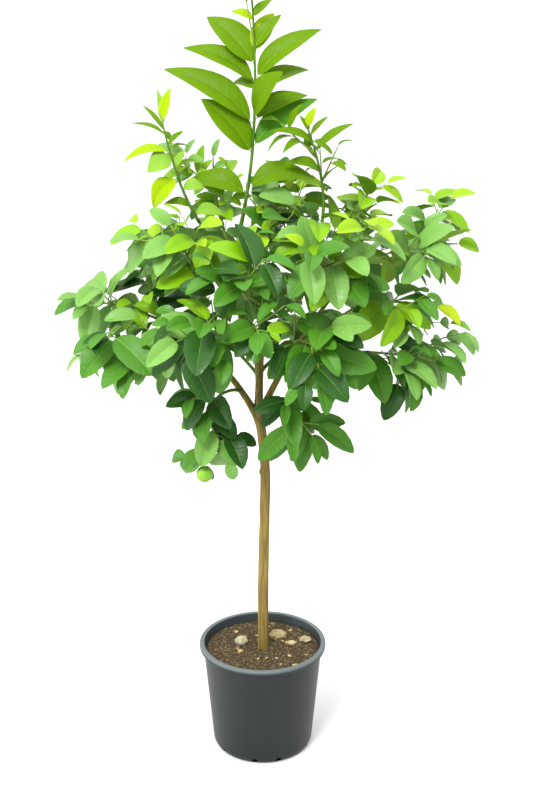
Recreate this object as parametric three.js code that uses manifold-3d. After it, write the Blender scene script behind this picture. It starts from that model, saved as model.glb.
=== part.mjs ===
// A young bergamot orange tree, grown as a short standard in a plastic nursery pot.
// Millimetres, +Z up. The origin is the centre of the pot's underside, and -Y is the front.
// The tree is a trunk, tapering boughs, and masses of leaves that grow on from the boughs' tips.
import * as THREE from "three";
import { mergeVertices } from "three/addons/utils/BufferGeometryUtils.js";
import Module from "manifold-3d";

const wasm = await Module();
wasm.setup();

// Driving dimensions of the pot and of what fills it
const POT_RIM_RADIUS = 120;
const POT_HEIGHT = 213;
const POT_LIP_HEIGHT = 11;
const POT_NECK_RADIUS = 112.5;
const POT_BELLY_RADIUS = 95;
const POT_FOOT_RADIUS = 89;
const POT_CORNER_HEIGHT = 9;
const POT_WALL = 2;
const POT_FLOOR = 2.5;
const POT_FOOT_HEIGHT = 3;
const POT_FOOT_WIDTH = 8;
const POT_CENTRE_DISC_RADIUS = 22;
const POT_SIDES = 32;
const DRAIN_PAIRS = 5;
const DRAIN_HALF_SPREAD = 14;
const DRAIN_TURN = 5;
const DRAIN_RADIUS = 5.5;
const DRAIN_HEIGHT = 6;
const SOIL_BELOW_RIM = 15;

// Driving dimensions of the wood
const TRUNK_FOOT_RADIUS = 10.2;
const TRUNK_TOP_RADIUS = 8.4;
const TRUNK_FLARE = 0.22;
const TRUNK_FLARE_HEIGHT = 14;
const TRUNK_ROOT_DEPTH = 20;
const TRUNK_SIDES = 10;
const TRUNK_STEPS = 14;
const FORK_HEIGHT = 672;
const CLEARANCE = 0.3;
const BOUGH_SIDES = 5;
const BOUGH_STEP = 52;
const BOUGH_LEAST_STEPS = 3;
const BOUGH_MOST_STEPS = 8;
const BOUGH_ELBOW_FLAT = 0.45;
const BOUGH_ELBOW_STEEP = 0.3;
const BOUGH_LIFT = 0.45;
const STEM_RADIUS = 3;
const STEM_STEPS = 4;
const STEM_ELBOW = 0.4;
const WOOD_GAP = 1;
const WOOD_SAMPLE = 4;

// Driving dimensions of the twigs. Shares are of the stem's length.
const TWIG_RADIUS = 1.8;
const TWIG_TAPER = 0.7;
const TWIG_SIDES = 3;
const TWIG_FIRST_SHARE = 0.06;
const TWIG_LAST_SHARE = 0.84;
const TWIG_LOW_LENGTH = 0.66;
const TWIG_HIGH_LENGTH = 0.4;
const TWIG_LENGTH_RANGE = [0.85, 1.15];
const TWIG_SPREAD_RANGE = [44, 60];
const TWIG_CUTS = [1, 0.75, 0.55];
const TWIG_BURIED_SAMPLES = 3;
const SPIRAL = 137.5;

// Heights that set how the crown grows
const CROWN_MIDDLE_HEIGHT = 900;
const TWIG_RISE_SPAN = 900;
const LEAF_DROOP = 0.3;
const LEAF_DROOP_SPAN = 800;
const LEAF_DROOP_MOST = 0.5;
const YOUNG_FROM_HEIGHT = 950;
const YOUNG_TOP_HEIGHT = 1235;

// Driving dimensions of the leaves. Shares are of the leaf's own length.
const LEAF_LENGTH = 86;
const YOUNG_LEAF_LENGTH = 58;
const LEAF_WIDTH_SHARE = 0.54;
const LEAF_THICKNESS_SHARE = 0.014;
const LEAF_SHOULDER_SHARE = 0.3;
const LEAF_MIDDLE_SHARE = 0.42;
const LEAF_ROOT_SUNK = 0.2;
const LEAF_FOLD_RANGE = [0.18, 0.5];
const LEAF_ARCH_RANGE = [0.1, 0.34];
const SHOOT_LEAF_FOLD = 0.3;
const SHOOT_LEAF_ARCH = 0.3;
const SHOOT_FACING_FRONT = 1.2;
const SHOOT_FACING_BACK = 0.3;

// How leaves stand on a twig: spacing, angles in degrees, the smaller leaves towards its tip, and how
// they turn their faces up and outwards and lie more level than the twig's spiral would set them
const LEAF_SPACING = 26;
const LEAF_SPACING_SIZE = 84;
const LEAF_SPACING_POWER = 0.75;
const LEAVES_FROM_ON_STEM = 0.25;
const LEAVES_FROM_ON_TWIG = 0.2;
const LEAVES_END = 0.995;
const LEAF_SPREAD_RANGE = [49, 63];
const LEAF_END_ANGLE = 14;
const LEAF_ROLL_RANGE = [-25, 25];
const LEAF_SIZE_RANGE = [0.86, 1.14];
const LOW_LEAF_SIZE = 1.05;
const TIP_LEAF_SIZE = 0.66;
const TIP_FROM_SHARE = 0.55;
const FACING_UP = 0.8;
const FACING_ASIDE = 0.35;
const FACING_CENTRE = 60;
const LEAF_LEVELLING = 0.6;
const FACING_OUT_LOW = 0.9;
const FACING_OUT_HIGH = 0.3;
const FACING_LOW_HEIGHT = 750;
const FACING_HIGH_HEIGHT = 1150;
const FACING_FORWARD = 0.25;

// The space of a mass, and the young fruit
const SPACE_STEM_SHARE = 0.42;
const SPACE_LEAF_SHARE = 0.7;
const SPACE_SHARED = 1.35;
const FRUIT_RADIUS = 14;
const FRUIT_SUNK = 4;

const soilTop = POT_HEIGHT - SOIL_BELOW_RIM;
const rad = THREE.MathUtils.degToRad;
const { lerp, clamp } = THREE.MathUtils;
const between = ([low, high], share) => lerp(low, high, share);
const UP = new THREE.Vector3(0, 0, 1);
const BACK = new THREE.Vector3(0, 1, 0);
const vector = (p) => new THREE.Vector3(...p);

const material = (color, roughness) => new THREE.MeshStandardMaterial({ color, roughness });
const bark = material(0x9c8550, 0.8);
const greenBark = material(0x6d7a33, 0.7);
const leafGreen = material(0x4f8f38, 0.45);
const freshGreen = material(0x86b81f, 0.45);
const plastic = material(0x3f4747, 0.5);
const earth = material(0x6a5a43, 1);
const paleStone = material(0xb5ac92, 0.9);

// A seeded random number from 0 to 1 at each call.
function seededRandom(seed) {
  let state = seed;
  return () => {
    state = (state * 1664525 + 1013904223) % 4294967296;
    return state / 4294967296;
  };
}

// A geometry as a solid for joining and cutting.
function solidOf(geometry) {
  const bare = geometry.clone();
  for (const name of ["normal", "uv"]) bare.deleteAttribute(name);
  const merged = mergeVertices(bare, 1e-4);
  const mesh = new wasm.Mesh({
    numProp: 3,
    vertProperties: new Float32Array(merged.attributes.position.array),
    triVerts: new Uint32Array(merged.index.array),
  });
  return new wasm.Manifold(mesh);
}

// A solid as a named mesh of the object.
function meshOf(name, solid, surface) {
  const { vertProperties, triVerts } = solid.getMesh();
  const geometry = new THREE.BufferGeometry();
  geometry.setAttribute("position", new THREE.BufferAttribute(vertProperties, 3));
  geometry.setIndex(new THREE.BufferAttribute(triVerts, 1));
  geometry.computeVertexNormals();
  const mesh = new THREE.Mesh(geometry, surface);
  mesh.name = name;
  return mesh;
}

// The largest body of a solid, so that a scrap cut loose is dropped.
function largestBody(solid) {
  return solid.decompose().reduce((a, b) => (a.volume() > b.volume() ? a : b));
}

// A profile of [radius, height] corners turned about +Z.
function turned(profile) {
  const points = profile.map(([r, z]) => new THREE.Vector2(r, z));
  return solidOf(new THREE.LatheGeometry(points, POT_SIDES).rotateX(Math.PI / 2));
}

// A tapering limb along a curve: a cylinder bent along it.
function limb(curve, radiusAt, sides, steps) {
  const geometry = new THREE.CylinderGeometry(1, 1, 1, sides, steps);
  const frames = curve.computeFrenetFrames(steps, false);
  const places = geometry.attributes.position;
  const centre = new THREE.Vector3();
  for (let i = 0; i < places.count; i++) {
    const share = places.getY(i) + 0.5;
    const ring = Math.round(share * steps);
    curve.getPointAt(share, centre);
    centre.addScaledVector(frames.normals[ring], places.getX(i) * radiusAt(share));
    centre.addScaledVector(frames.binormals[ring], -places.getZ(i) * radiusAt(share));
    places.setXYZ(i, centre.x, centre.y, centre.z);
  }
  return solidOf(geometry);
}

// The pot: one turned shell with a downturned lip, standing on a foot ring and a centre disc.
function makePot() {
  const floorTop = POT_FOOT_HEIGHT + POT_FLOOR;
  const shell = turned([
    [0, 0],
    [POT_CENTRE_DISC_RADIUS, 0],
    [POT_CENTRE_DISC_RADIUS + POT_FOOT_HEIGHT, POT_FOOT_HEIGHT],
    [POT_FOOT_RADIUS - POT_FOOT_WIDTH - POT_FOOT_HEIGHT, POT_FOOT_HEIGHT],
    [POT_FOOT_RADIUS - POT_FOOT_WIDTH, 0],
    [POT_FOOT_RADIUS, 0],
    [POT_BELLY_RADIUS, POT_CORNER_HEIGHT],
    [POT_NECK_RADIUS, POT_HEIGHT - POT_WALL],
    [POT_RIM_RADIUS - POT_WALL, POT_HEIGHT - POT_WALL],
    [POT_RIM_RADIUS - POT_WALL, POT_HEIGHT - POT_LIP_HEIGHT],
    [POT_RIM_RADIUS, POT_HEIGHT - POT_LIP_HEIGHT],
    [POT_RIM_RADIUS, POT_HEIGHT],
    [POT_NECK_RADIUS - POT_WALL, POT_HEIGHT],
    [POT_BELLY_RADIUS - POT_WALL, POT_CORNER_HEIGHT],
    [POT_FOOT_RADIUS - POT_WALL, floorTop],
    [0, floorTop],
  ]);
  const drains = [];
  for (let pair = 0; pair < DRAIN_PAIRS; pair++) {
    for (const side of [-1, 1]) {
      const angle = DRAIN_TURN + (pair * 360) / DRAIN_PAIRS + side * DRAIN_HALF_SPREAD;
      const hole = new THREE.CylinderGeometry(DRAIN_RADIUS, DRAIN_RADIUS, 2 * POT_FOOT_WIDTH, 6);
      hole.translate(0, -POT_FOOT_RADIUS - POT_FOOT_WIDTH / 2, DRAIN_HEIGHT);
      drains.push(solidOf(hole.rotateZ(rad(angle))));
    }
  }
  return shell.subtract(wasm.Manifold.union(drains));
}

// The soil fills the pot to a flat top below the rim.
function makeSoil() {
  const inside = POT_WALL + CLEARANCE;
  const floor = POT_FOOT_HEIGHT + POT_FLOOR + CLEARANCE;
  const rise = (soilTop - POT_CORNER_HEIGHT) / (POT_HEIGHT - POT_CORNER_HEIGHT);
  return turned([
    [0, floor],
    [POT_FOOT_RADIUS - inside, floor],
    [POT_BELLY_RADIUS - inside, POT_CORNER_HEIGHT],
    [lerp(POT_BELLY_RADIUS, POT_NECK_RADIUS, rise) - inside, soilTop],
    [0, soilTop],
  ]);
}

// A stone lies on the soil: a rough squashed ball, cut flat below.
function makeStone({ at, size, turn, seed }) {
  const random = seededRandom(seed);
  const ball = new THREE.SphereGeometry(0.5, 7, 4);
  for (const name of ["normal", "uv"]) ball.deleteAttribute(name);
  const geometry = mergeVertices(ball, 1e-4);
  const corners = geometry.attributes.position;
  for (let i = 0; i < corners.count; i++) {
    const rough = lerp(0.8, 1.1, random());
    corners.setXYZ(i, corners.getX(i) * rough, corners.getY(i) * rough, corners.getZ(i) * rough);
  }
  geometry.rotateX(Math.PI / 2).scale(...size).rotateZ(rad(turn));
  geometry.translate(at[0], at[1], soilTop + size[2] * 0.3);
  return solidOf(geometry).trimByPlane([0, 0, 1], soilTop + CLEARANCE);
}

const STONES = {
  stone_pale: { at: [-41, 14], size: [31, 26, 21], turn: 15, seed: 11 },
  stone_flake_back: { at: [29, 42], size: [34, 38, 18], turn: 40, seed: 12 },
  stone_flake_middle: { at: [56, 12], size: [24, 14, 9], turn: -25, seed: 13 },
  stone_flake_right: { at: [82, 26], size: [30, 16, 12], turn: 30, seed: 14 },
};

// The trunk leans and sways a little on its way from the soil to its fork.
const TRUNK_ROUTE = [
  [2, 0, soilTop - TRUNK_ROOT_DEPTH],
  [1, 0, 280],
  [2, 0, 380],
  [4, 0, 480],
  [5, 0, 560],
  [0, 0, 625],
  [-7, 0, FORK_HEIGHT],
];
const trunkCurve = new THREE.CatmullRomCurve3(TRUNK_ROUTE.map(vector), false, "catmullrom", 0.5);

function trunkRadius(share) {
  const above = share * (FORK_HEIGHT - soilTop);
  const flare = TRUNK_FLARE * Math.exp(-above / TRUNK_FLARE_HEIGHT);
  return lerp(TRUNK_FOOT_RADIUS, TRUNK_TOP_RADIUS, share) * (1 + flare);
}

// A bough leaves its parent at a share of the parent's route and curves to its mouth, where its
// mass of leaves begins. A bough that lifts rises steeply at first.
const BOUGHS = {
  centre: { parent: "trunk", share: 1, mouth: [4, 8, 940], radii: [7.2, 2.8], lift: 0.8 },
  left: { parent: "trunk", share: 0.942, mouth: [-165, -20, 845], radii: [6.8, 2.6], lift: 0.5 },
  right: { parent: "trunk", share: 0.98, mouth: [145, -20, 925], radii: [6.6, 2.6], lift: 0.3 },
  back: { parent: "trunk", share: 0.965, mouth: [5, 100, 855], radii: [5.6, 2.4], lift: 0.5 },
  front: { parent: "trunk", share: 0.955, mouth: [-15, -95, 845], radii: [4.8, 2.4], lift: 0.5 },
  leader: { parent: "left", share: 0.5, mouth: [-30, -20, 1050], radii: [4.6, 3.4], lift: 0.3 },
  left_shoot: { parent: "leader", share: 0.42, mouth: [-106, -45, 1030], radii: [2.8, 2.6], lift: 0.5 },
  left_upper: { parent: "left", share: 0.62, mouth: [-105, -60, 915], radii: [3.4, 2.6], lift: 0.4 },
  left_lower: { parent: "left", share: 0.6, mouth: [-165, -75, 820], radii: [3.2, 2.6], lift: 0.1 },
  low_left: { parent: "left", share: 0.25, mouth: [-70, -60, 730], radii: [3, 2.6], lift: 0.3 },
  front_left: { parent: "left", share: 0.4, mouth: [-75, -105, 845], radii: [3.4, 2.6], lift: 0.2 },
  top_left: { parent: "centre", share: 0.5, mouth: [-55, 35, 970], radii: [3.4, 2.6], lift: 0.4 },
  back_left: { parent: "back", share: 0.45, mouth: [-85, 90, 895], radii: [3.6, 2.6], lift: 0.4 },
  back_low_left: { parent: "back", share: 0.3, mouth: [-60, 90, 775], radii: [3.2, 2.6], lift: 0.1 },
  back_low_right: { parent: "back", share: 0.36, mouth: [50, 90, 775], radii: [3.2, 2.6], lift: 0.1 },
  back_right: { parent: "back", share: 0.6, mouth: [85, 90, 880], radii: [3.6, 2.6], lift: 0.2 },
  back_high: { parent: "centre", share: 0.7, mouth: [30, 75, 960], radii: [3, 2.6], lift: 0.3 },
  front_high: { parent: "centre", share: 0.5, mouth: [-25, -75, 905], radii: [3.4, 2.6], lift: 0.3 },
  front_top: { parent: "centre", share: 0.62, mouth: [60, -70, 935], radii: [3.2, 2.6], lift: 0.1 },
  front_right: { parent: "right", share: 0.25, mouth: [50, -105, 835], radii: [3.4, 2.6], lift: 0.4 },
  low_right: { parent: "trunk", share: 0.945, mouth: [30, -40, 690], radii: [3, 2.6], lift: 0.1 },
  right_lower: { parent: "right", share: 0.4, mouth: [150, -40, 800], radii: [3.4, 2.6], lift: 0.1 },
  right_middle: { parent: "right", share: 0.5, mouth: [145, -40, 870], radii: [3.4, 2.6], lift: 0 },
  right_high: { parent: "right", share: 0.78, mouth: [120, 15, 960], radii: [3, 2.6], lift: 0.3 },
  right_shoot: { parent: "right", share: 0.66, mouth: [103, -18, 1030], radii: [3, 2.6], lift: 0.2 },
};

// The stem of a mass runs on from its bough's mouth to its tip, and bears side twigs.
const MASSES = {
  leader: { tip: [-20, 0, 1435], twigs: 0, seed: 1, reach: 185 },
  left_shoot: { tip: [-163, -60, 1198], twigs: 1, seed: 5, leaf: 44, wide: 0.38 },
  right_shoot: { tip: [74, -40, 1190], twigs: 3, seed: 10, leaf: 50, wide: 0.34 },
  left_upper: { tip: [-150, -100, 1035], twigs: 5, seed: 7 },
  left: { tip: [-300, -40, 893], twigs: 4, seed: 23 },
  left_lower: { tip: [-275, -110, 842], twigs: 4, seed: 21 },
  low_left: { tip: [-101, -100, 605], twigs: 4, seed: 6, leaf: 66, wide: 0.6, fruit: true },
  front_left: { tip: [-135, -210, 870], twigs: 5, seed: 3 },
  front: { tip: [-5, -235, 890], twigs: 4, seed: 10, leaf: 72 },
  front_high: { tip: [-30, -200, 965], twigs: 4, seed: 2 },
  front_right: { tip: [95, -225, 860], twigs: 5, seed: 2 },
  low_right: { tip: [85, -110, 672], twigs: 4, seed: 2, leaf: 88, wide: 0.42 },
  right_lower: { tip: [295, -90, 800], twigs: 4, seed: 4 },
  right_middle: { tip: [295, -70, 890], twigs: 5, seed: 1 },
  right: { tip: [334, -22, 988], twigs: 4, seed: 11 },
  right_high: { tip: [195, -10, 1055], twigs: 4, seed: 18 },
  centre: { tip: [30, 0, 1085], twigs: 4, seed: 12 },
  top_left: { tip: [-85, 50, 1125], twigs: 3, seed: 7, leaf: 52, wide: 0.42 },
  front_top: { tip: [140, -190, 1000], twigs: 4, seed: 22 },
  back_left: { tip: [-170, 205, 940], twigs: 3, seed: 2 },
  back: { tip: [5, 275, 860], twigs: 3, seed: 7 },
  back_right: { tip: [185, 200, 930], twigs: 3, seed: 22 },
  back_low_left: { tip: [-175, 195, 750], twigs: 2, seed: 5 },
  back_low_right: { tip: [125, 205, 750], twigs: 2, seed: 20 },
  back_high: { tip: [70, 170, 1045], twigs: 2, seed: 7 },
};

// The leaves of the leader and of the two side shoots. Each stands above the mouth, turned from the
// right (0) by the back (90) to the left (180), leaves the stem as steeply as its angle from level,
// and is as wide as its share of its length.
const SHOOT_LEAVES = {
  leader: [
    { above: 26, turn: 184, length: 106, steep: 19, wide: 0.4 },
    { above: 40, turn: 354, length: 112, steep: 18, wide: 0.38 },
    { above: 118, turn: 5, length: 134, steep: 45, wide: 0.32 },
    { above: 107, turn: 195, length: 119, steep: 56, wide: 0.46 },
    { above: 165, turn: 5, length: 98, steep: 34, wide: 0.34 },
    { above: 158, turn: 176, length: 170, steep: 41, wide: 0.29 },
    { above: 216, turn: 155, length: 54, steep: 18, wide: 0.5 },
    { above: 170, turn: 285, length: 104, steep: 50, wide: 0.52 },
    { above: 225, turn: 186, length: 128, steep: 36, wide: 0.3 },
    { above: 208, turn: 12, length: 102, steep: 32, wide: 0.34 },
    { above: 232, turn: 345, length: 130, steep: 46, wide: 0.32 },
    { above: 253, turn: 175, length: 110, steep: 53, wide: 0.48 },
    { above: 272, turn: 60, length: 80, steep: 62, wide: 0.44 },
    { above: 277, turn: 350, length: 68, steep: 60, wide: 0.36 },
    { above: 317, turn: 190, length: 38, steep: 32, wide: 0.42 },
    { above: 322, turn: 10, length: 42, steep: 50, wide: 0.42 },
    { above: 345, turn: 110, length: 38, steep: 55, wide: 0.34 },
    { above: 358, turn: 250, length: 34, steep: 60, wide: 0.36 },
    { above: 372, turn: 20, length: 30, steep: 65, wide: 0.36 },
    { above: 385, turn: 180, length: 26, steep: 80, wide: 0.36 },
  ],
  left_shoot: [
    { above: 20, turn: 350, length: 48, steep: 8, wide: 0.5 },
    { above: 34, turn: 186, length: 44, steep: 18, wide: 0.36 },
    { above: 70, turn: 345, length: 36, steep: 14, wide: 0.66 },
    { above: 88, turn: 198, length: 64, steep: -42, wide: 0.54 },
    { above: 104, turn: 20, length: 36, steep: 66, wide: 0.36 },
    { above: 116, turn: 205, length: 44, steep: -12, wide: 0.9 },
    { above: 128, turn: 190, length: 78, steep: -2, wide: 0.22 },
    { above: 138, turn: 10, length: 34, steep: 50, wide: 0.3 },
    { above: 150, turn: 188, length: 58, steep: 30, wide: 0.13 },
    { above: 167, turn: 320, length: 56, steep: 80, wide: 0.34 },
    { above: 156, turn: 160, length: 58, steep: 54, wide: 0.15 },
    { above: 163, turn: 180, length: 60, steep: 82, wide: 0.18 },
  ],
  right_shoot: [
    { above: 90, turn: 195, length: 60, steep: 22, wide: 0.34 },
    { above: 106, turn: 160, length: 46, steep: 54, wide: 0.2 },
    { above: 121, turn: 352, length: 76, steep: 46, wide: 0.22 },
    { above: 132, turn: 186, length: 74, steep: 28, wide: 0.22 },
    { above: 145, turn: 354, length: 42, steep: 56, wide: 0.24 },
    { above: 151, turn: 190, length: 30, steep: 66, wide: 0.34 },
    { above: 157, turn: 330, length: 34, steep: 74, wide: 0.46 },
  ],
};

// Limbs: the trunk and every bough, each with its curve and its radius along it.
const limbs = { trunk: { curve: trunkCurve, radiusAt: trunkRadius } };
for (const [name, { parent, share, mouth, radii, lift }] of Object.entries(BOUGHS)) {
  const start = limbs[parent].curve.getPoint(share);
  const end = vector(mouth);
  const elbow = start.clone().lerp(end, lerp(BOUGH_ELBOW_FLAT, BOUGH_ELBOW_STEEP, lift));
  elbow.addScaledVector(UP, lift * BOUGH_LIFT * start.distanceTo(end));
  const curve = new THREE.QuadraticBezierCurve3(start, elbow, end);
  limbs[name] = { curve, radiusAt: (along) => lerp(radii[0], radii[1], along) };
}

function makeTrunk(extra) {
  const whole = limb(trunkCurve, (share) => trunkRadius(share) + extra, TRUNK_SIDES, TRUNK_STEPS);
  return whole.trimByPlane([0, 0, 1], soilTop + CLEARANCE - extra);
}

// Boughs are made in order, and each is cut clear of the wood made before it.
function makeBoughs() {
  const made = {};
  let clear = makeTrunk(CLEARANCE);
  for (const name of Object.keys(BOUGHS)) {
    const { curve, radiusAt } = limbs[name];
    const wanted = Math.round(curve.getLength() / BOUGH_STEP);
    const steps = clamp(wanted, BOUGH_LEAST_STEPS, BOUGH_MOST_STEPS);
    made[name] = largestBody(limb(curve, radiusAt, BOUGH_SIDES, steps).subtract(clear));
    clear = clear.add(limb(curve, (share) => radiusAt(share) + CLEARANCE, BOUGH_SIDES, steps));
  }
  return { made, clear };
}

// A direction square to an axis, turned about it by an angle in degrees.
function sideways(axis, angle) {
  const across = axis.clone().cross(Math.abs(axis.z) < 0.9 ? UP : BACK).normalize();
  const over = across.clone().cross(axis);
  return across.multiplyScalar(Math.cos(rad(angle))).addScaledVector(over, Math.sin(rad(angle)));
}

// Places along a limb with their radii, which twigs and leaves must stay clear of.
function placesAlong(owner, curve, radiusAt) {
  const count = Math.ceil(curve.getPoint(0).distanceTo(curve.getPoint(1)) / WOOD_SAMPLE) + 2;
  const shares = Array.from({ length: count + 1 }, (_, i) => i / count);
  return shares.map((share) => ({ owner, place: curve.getPoint(share), radius: radiusAt(share) }));
}

// Height in the crown sets a mass's growth. Low twigs sink and high ones rise, low leaves hang and
// high ones stand, and the leaves are full-grown below and young at the top.
const heightAbove = ({ tip }, level) => tip[2] - level;

function twigRise(mass) {
  return heightAbove(mass, CROWN_MIDDLE_HEIGHT) / TWIG_RISE_SPAN;
}

function leafDroop(mass) {
  const less = heightAbove(mass, CROWN_MIDDLE_HEIGHT) / LEAF_DROOP_SPAN;
  return clamp(LEAF_DROOP - less, 0, LEAF_DROOP_MOST);
}

function leafLength(mass) {
  const young = heightAbove(mass, YOUNG_FROM_HEIGHT) / (YOUNG_TOP_HEIGHT - YOUNG_FROM_HEIGHT);
  return mass.leaf ?? lerp(LEAF_LENGTH, YOUNG_LEAF_LENGTH, clamp(young, 0, 1));
}

// Each mass keeps to a space round its own stem: within its reach of the stem, and not much nearer
// to the stem of another mass, both measured as a share of the reach.
const spaces = Object.entries(MASSES).map(([name, mass]) => {
  const stem = new THREE.Line3(vector(BOUGHS[name].mouth), vector(mass.tip));
  const reach = mass.reach ?? stem.distance() * SPACE_STEM_SHARE + leafLength(mass) * SPACE_LEAF_SHARE;
  return { name, stem, reach, alone: mass.twigs === 0 };
});

function nearness({ stem, reach }, place) {
  return stem.closestPointToPoint(place, true, new THREE.Vector3()).distanceTo(place) / reach;
}

function inSpace(name, place) {
  const own = spaces.find((space) => space.name === name);
  const near = nearness(own, place);
  if (near >= 1) return false;
  const sharers = own.alone ? [] : spaces.filter((other) => !other.alone);
  return sharers.every((other) => near <= nearness(other, place) * SPACE_SHARED);
}

// A leaf: its root, its direction, the way its upper side faces, and its size.
// It is folded up along its midrib and arches down to its tip.
function makeLeaf({ root, along, facing, length, fold, arch, width = LEAF_WIDTH_SHARE }) {
  const up = facing.clone().addScaledVector(along, -facing.dot(along)).normalize();
  const side = up.clone().cross(along);
  return { root, along, up, side, length, half: (length * width) / 2, fold, arch };
}

function surfaceHeight(leaf, share, offset) {
  return leaf.fold * Math.abs(offset) - leaf.arch * share * share * leaf.length;
}

// A point of the leaf at a share of its length, a sideways offset, and a height off its surface.
function leafPoint(leaf, share, offset, height = 0) {
  const place = leaf.root.clone().addScaledVector(leaf.along, share * leaf.length);
  place.addScaledVector(leaf.side, offset);
  return place.addScaledVector(leaf.up, surfaceHeight(leaf, share, offset) + height);
}

// Where a place lies on a leaf: its share of the length, its offset, and its height off the surface.
function onLeaf(leaf, place) {
  const away = place.clone().sub(leaf.root);
  const share = away.dot(leaf.along) / leaf.length;
  const offset = away.dot(leaf.side);
  return { share, offset, height: away.dot(leaf.up) - surfaceHeight(leaf, share, offset) };
}

function halfWidth(leaf, share) {
  return leaf.half * clamp(Math.min(share, 1 - share) / LEAF_SHOULDER_SHARE, 0, 1);
}

// The outline's corners from the root round, then its edges and the lines from corner to middle.
function leafEdges(leaf) {
  const shares = [0, LEAF_SHOULDER_SHARE, 1 - LEAF_SHOULDER_SHARE];
  const left = shares.map((share) => leafPoint(leaf, share, share && leaf.half));
  const right = shares.map((share) => leafPoint(leaf, 1 - share, share && -leaf.half));
  const corners = [...left, ...right];
  const middle = leafPoint(leaf, LEAF_MIDDLE_SHARE, 0);
  const rim = corners.map((corner, i) => [corner, corners[(i + 1) % corners.length]]);
  const spokes = corners.slice(1).map((corner) => [corner, middle]);
  return { corners, rim, spokes };
}

// True where one of the edges passes through the leaf, or nearer to its surface than the room.
function pierced(leaf, edges, room) {
  return edges.some(([from, to]) => {
    const a = onLeaf(leaf, from);
    const b = onLeaf(leaf, to);
    if (Math.min(a.height, b.height) > room || Math.max(a.height, b.height) < -room) return false;
    const climb = b.height - a.height || Number.EPSILON;
    const [enters, leaves] = [-room, room].map((height) => clamp((height - a.height) / climb, 0, 1));
    return [enters, (enters + leaves) / 2, leaves].some((t) => {
      const width = halfWidth(leaf, lerp(a.share, b.share, t));
      return Math.abs(lerp(a.offset, b.offset, t)) < width + WOOD_GAP;
    });
  });
}

// The room that a leaf leaves to another: none in its own mass, and a gap to another mass.
function roomBetween(leaf, other) {
  if (leaf.mass === other.mass) return 0;
  return LEAF_THICKNESS_SHARE * Math.max(leaf.length, other.length) + CLEARANCE;
}

function touchesWood(leaf, wood, owner) {
  const middle = leafPoint(leaf, 0.5, 0);
  const thick = leaf.length * LEAF_THICKNESS_SHARE;
  return wood.some((w) => {
    if (w.owner === owner || middle.distanceTo(w.place) > leaf.length + w.radius) return false;
    const { share, offset, height } = onLeaf(leaf, w.place);
    const near = w.radius + WOOD_GAP;
    if (share < 0 || share > 1 || Math.abs(height) > near + thick) return false;
    return Math.abs(offset) < halfWidth(leaf, share) + near;
  });
}

// The leaf's solid: a ball of twelve faces, whose equator becomes the outline and whose poles
// become the thickest places of the midrib.
function leafSolid(leaf) {
  const geometry = new THREE.SphereGeometry(1, 6, 2);
  const places = geometry.attributes.position;
  const thick = (leaf.length * LEAF_THICKNESS_SHARE) / 2;
  for (let i = 0; i < places.count; i++) {
    const pole = Math.abs(places.getY(i)) > 0.5;
    const side = Math.sign(Math.round(places.getZ(i) * 9));
    const shoulder = side ? LEAF_SHOULDER_SHARE : 0;
    const edge = places.getX(i) < 0 ? shoulder : 1 - shoulder;
    const share = pole ? LEAF_MIDDLE_SHARE : edge;
    const to = leafPoint(leaf, share, -side * leaf.half, places.getY(i) * thick);
    places.setXYZ(i, to.x, to.y, to.z);
  }
  return solidOf(geometry);
}

// Twigs: the stem of each mass and the side twigs that leave it in a spiral. A twig that isn't
// free at its full length is tried shorter, and then left out.
function growTwigs(name, mass, wood) {
  const random = seededRandom(mass.seed);
  const aim = limbs[name].curve.getTangent(1);
  const start = vector(BOUGHS[name].mouth).addScaledVector(aim, CLEARANCE);
  const tip = vector(mass.tip);
  const reach = start.distanceTo(tip);
  const elbow = start.clone().addScaledVector(aim, reach * STEM_ELBOW);
  const stem = new THREE.QuadraticBezierCurve3(start, elbow, tip);
  const twigs = [{ owner: name + "_stem", curve: stem, thick: STEM_RADIUS, from: LEAVES_FROM_ON_STEM }];
  const phase = random() * 360;
  const free = ({ place, radius }) => inSpace(name, place) && clearOfWood(name, place, radius, wood);
  for (let k = 0; k < mass.twigs; k++) {
    const share = lerp(TWIG_FIRST_SHARE, TWIG_LAST_SHARE, (k + 0.5) / mass.twigs);
    const root = stem.getPoint(share);
    const forward = stem.getTangent(share);
    const angle = rad(between(TWIG_SPREAD_RANGE, random()));
    const out = sideways(forward, phase + k * SPIRAL).multiplyScalar(Math.sin(angle));
    out.addScaledVector(forward, Math.cos(angle)).addScaledVector(UP, twigRise(mass)).normalize();
    const most = lerp(TWIG_LOW_LENGTH, TWIG_HIGH_LENGTH, share) * between(TWIG_LENGTH_RANGE, random());
    const curves = TWIG_CUTS.map((cut) => {
      const end = root.clone().addScaledVector(out, reach * most * cut);
      return new THREE.LineCurve3(root, end);
    });
    const curve = curves.find((tried) => {
      return placesAlong("", tried, () => TWIG_RADIUS).slice(TWIG_BURIED_SAMPLES).every(free);
    });
    const owner = name + "_twig_" + k;
    if (curve) twigs.push({ owner, curve, thick: TWIG_RADIUS, from: LEAVES_FROM_ON_TWIG });
  }
  return { name, mass, random, twigs };
}

// True where a place is clear of all wood but its own bough's.
function clearOfWood(name, place, radius, wood) {
  return wood.every((w) => w.owner === name || w.place.distanceTo(place) > w.radius + radius + WOOD_GAP);
}

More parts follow.
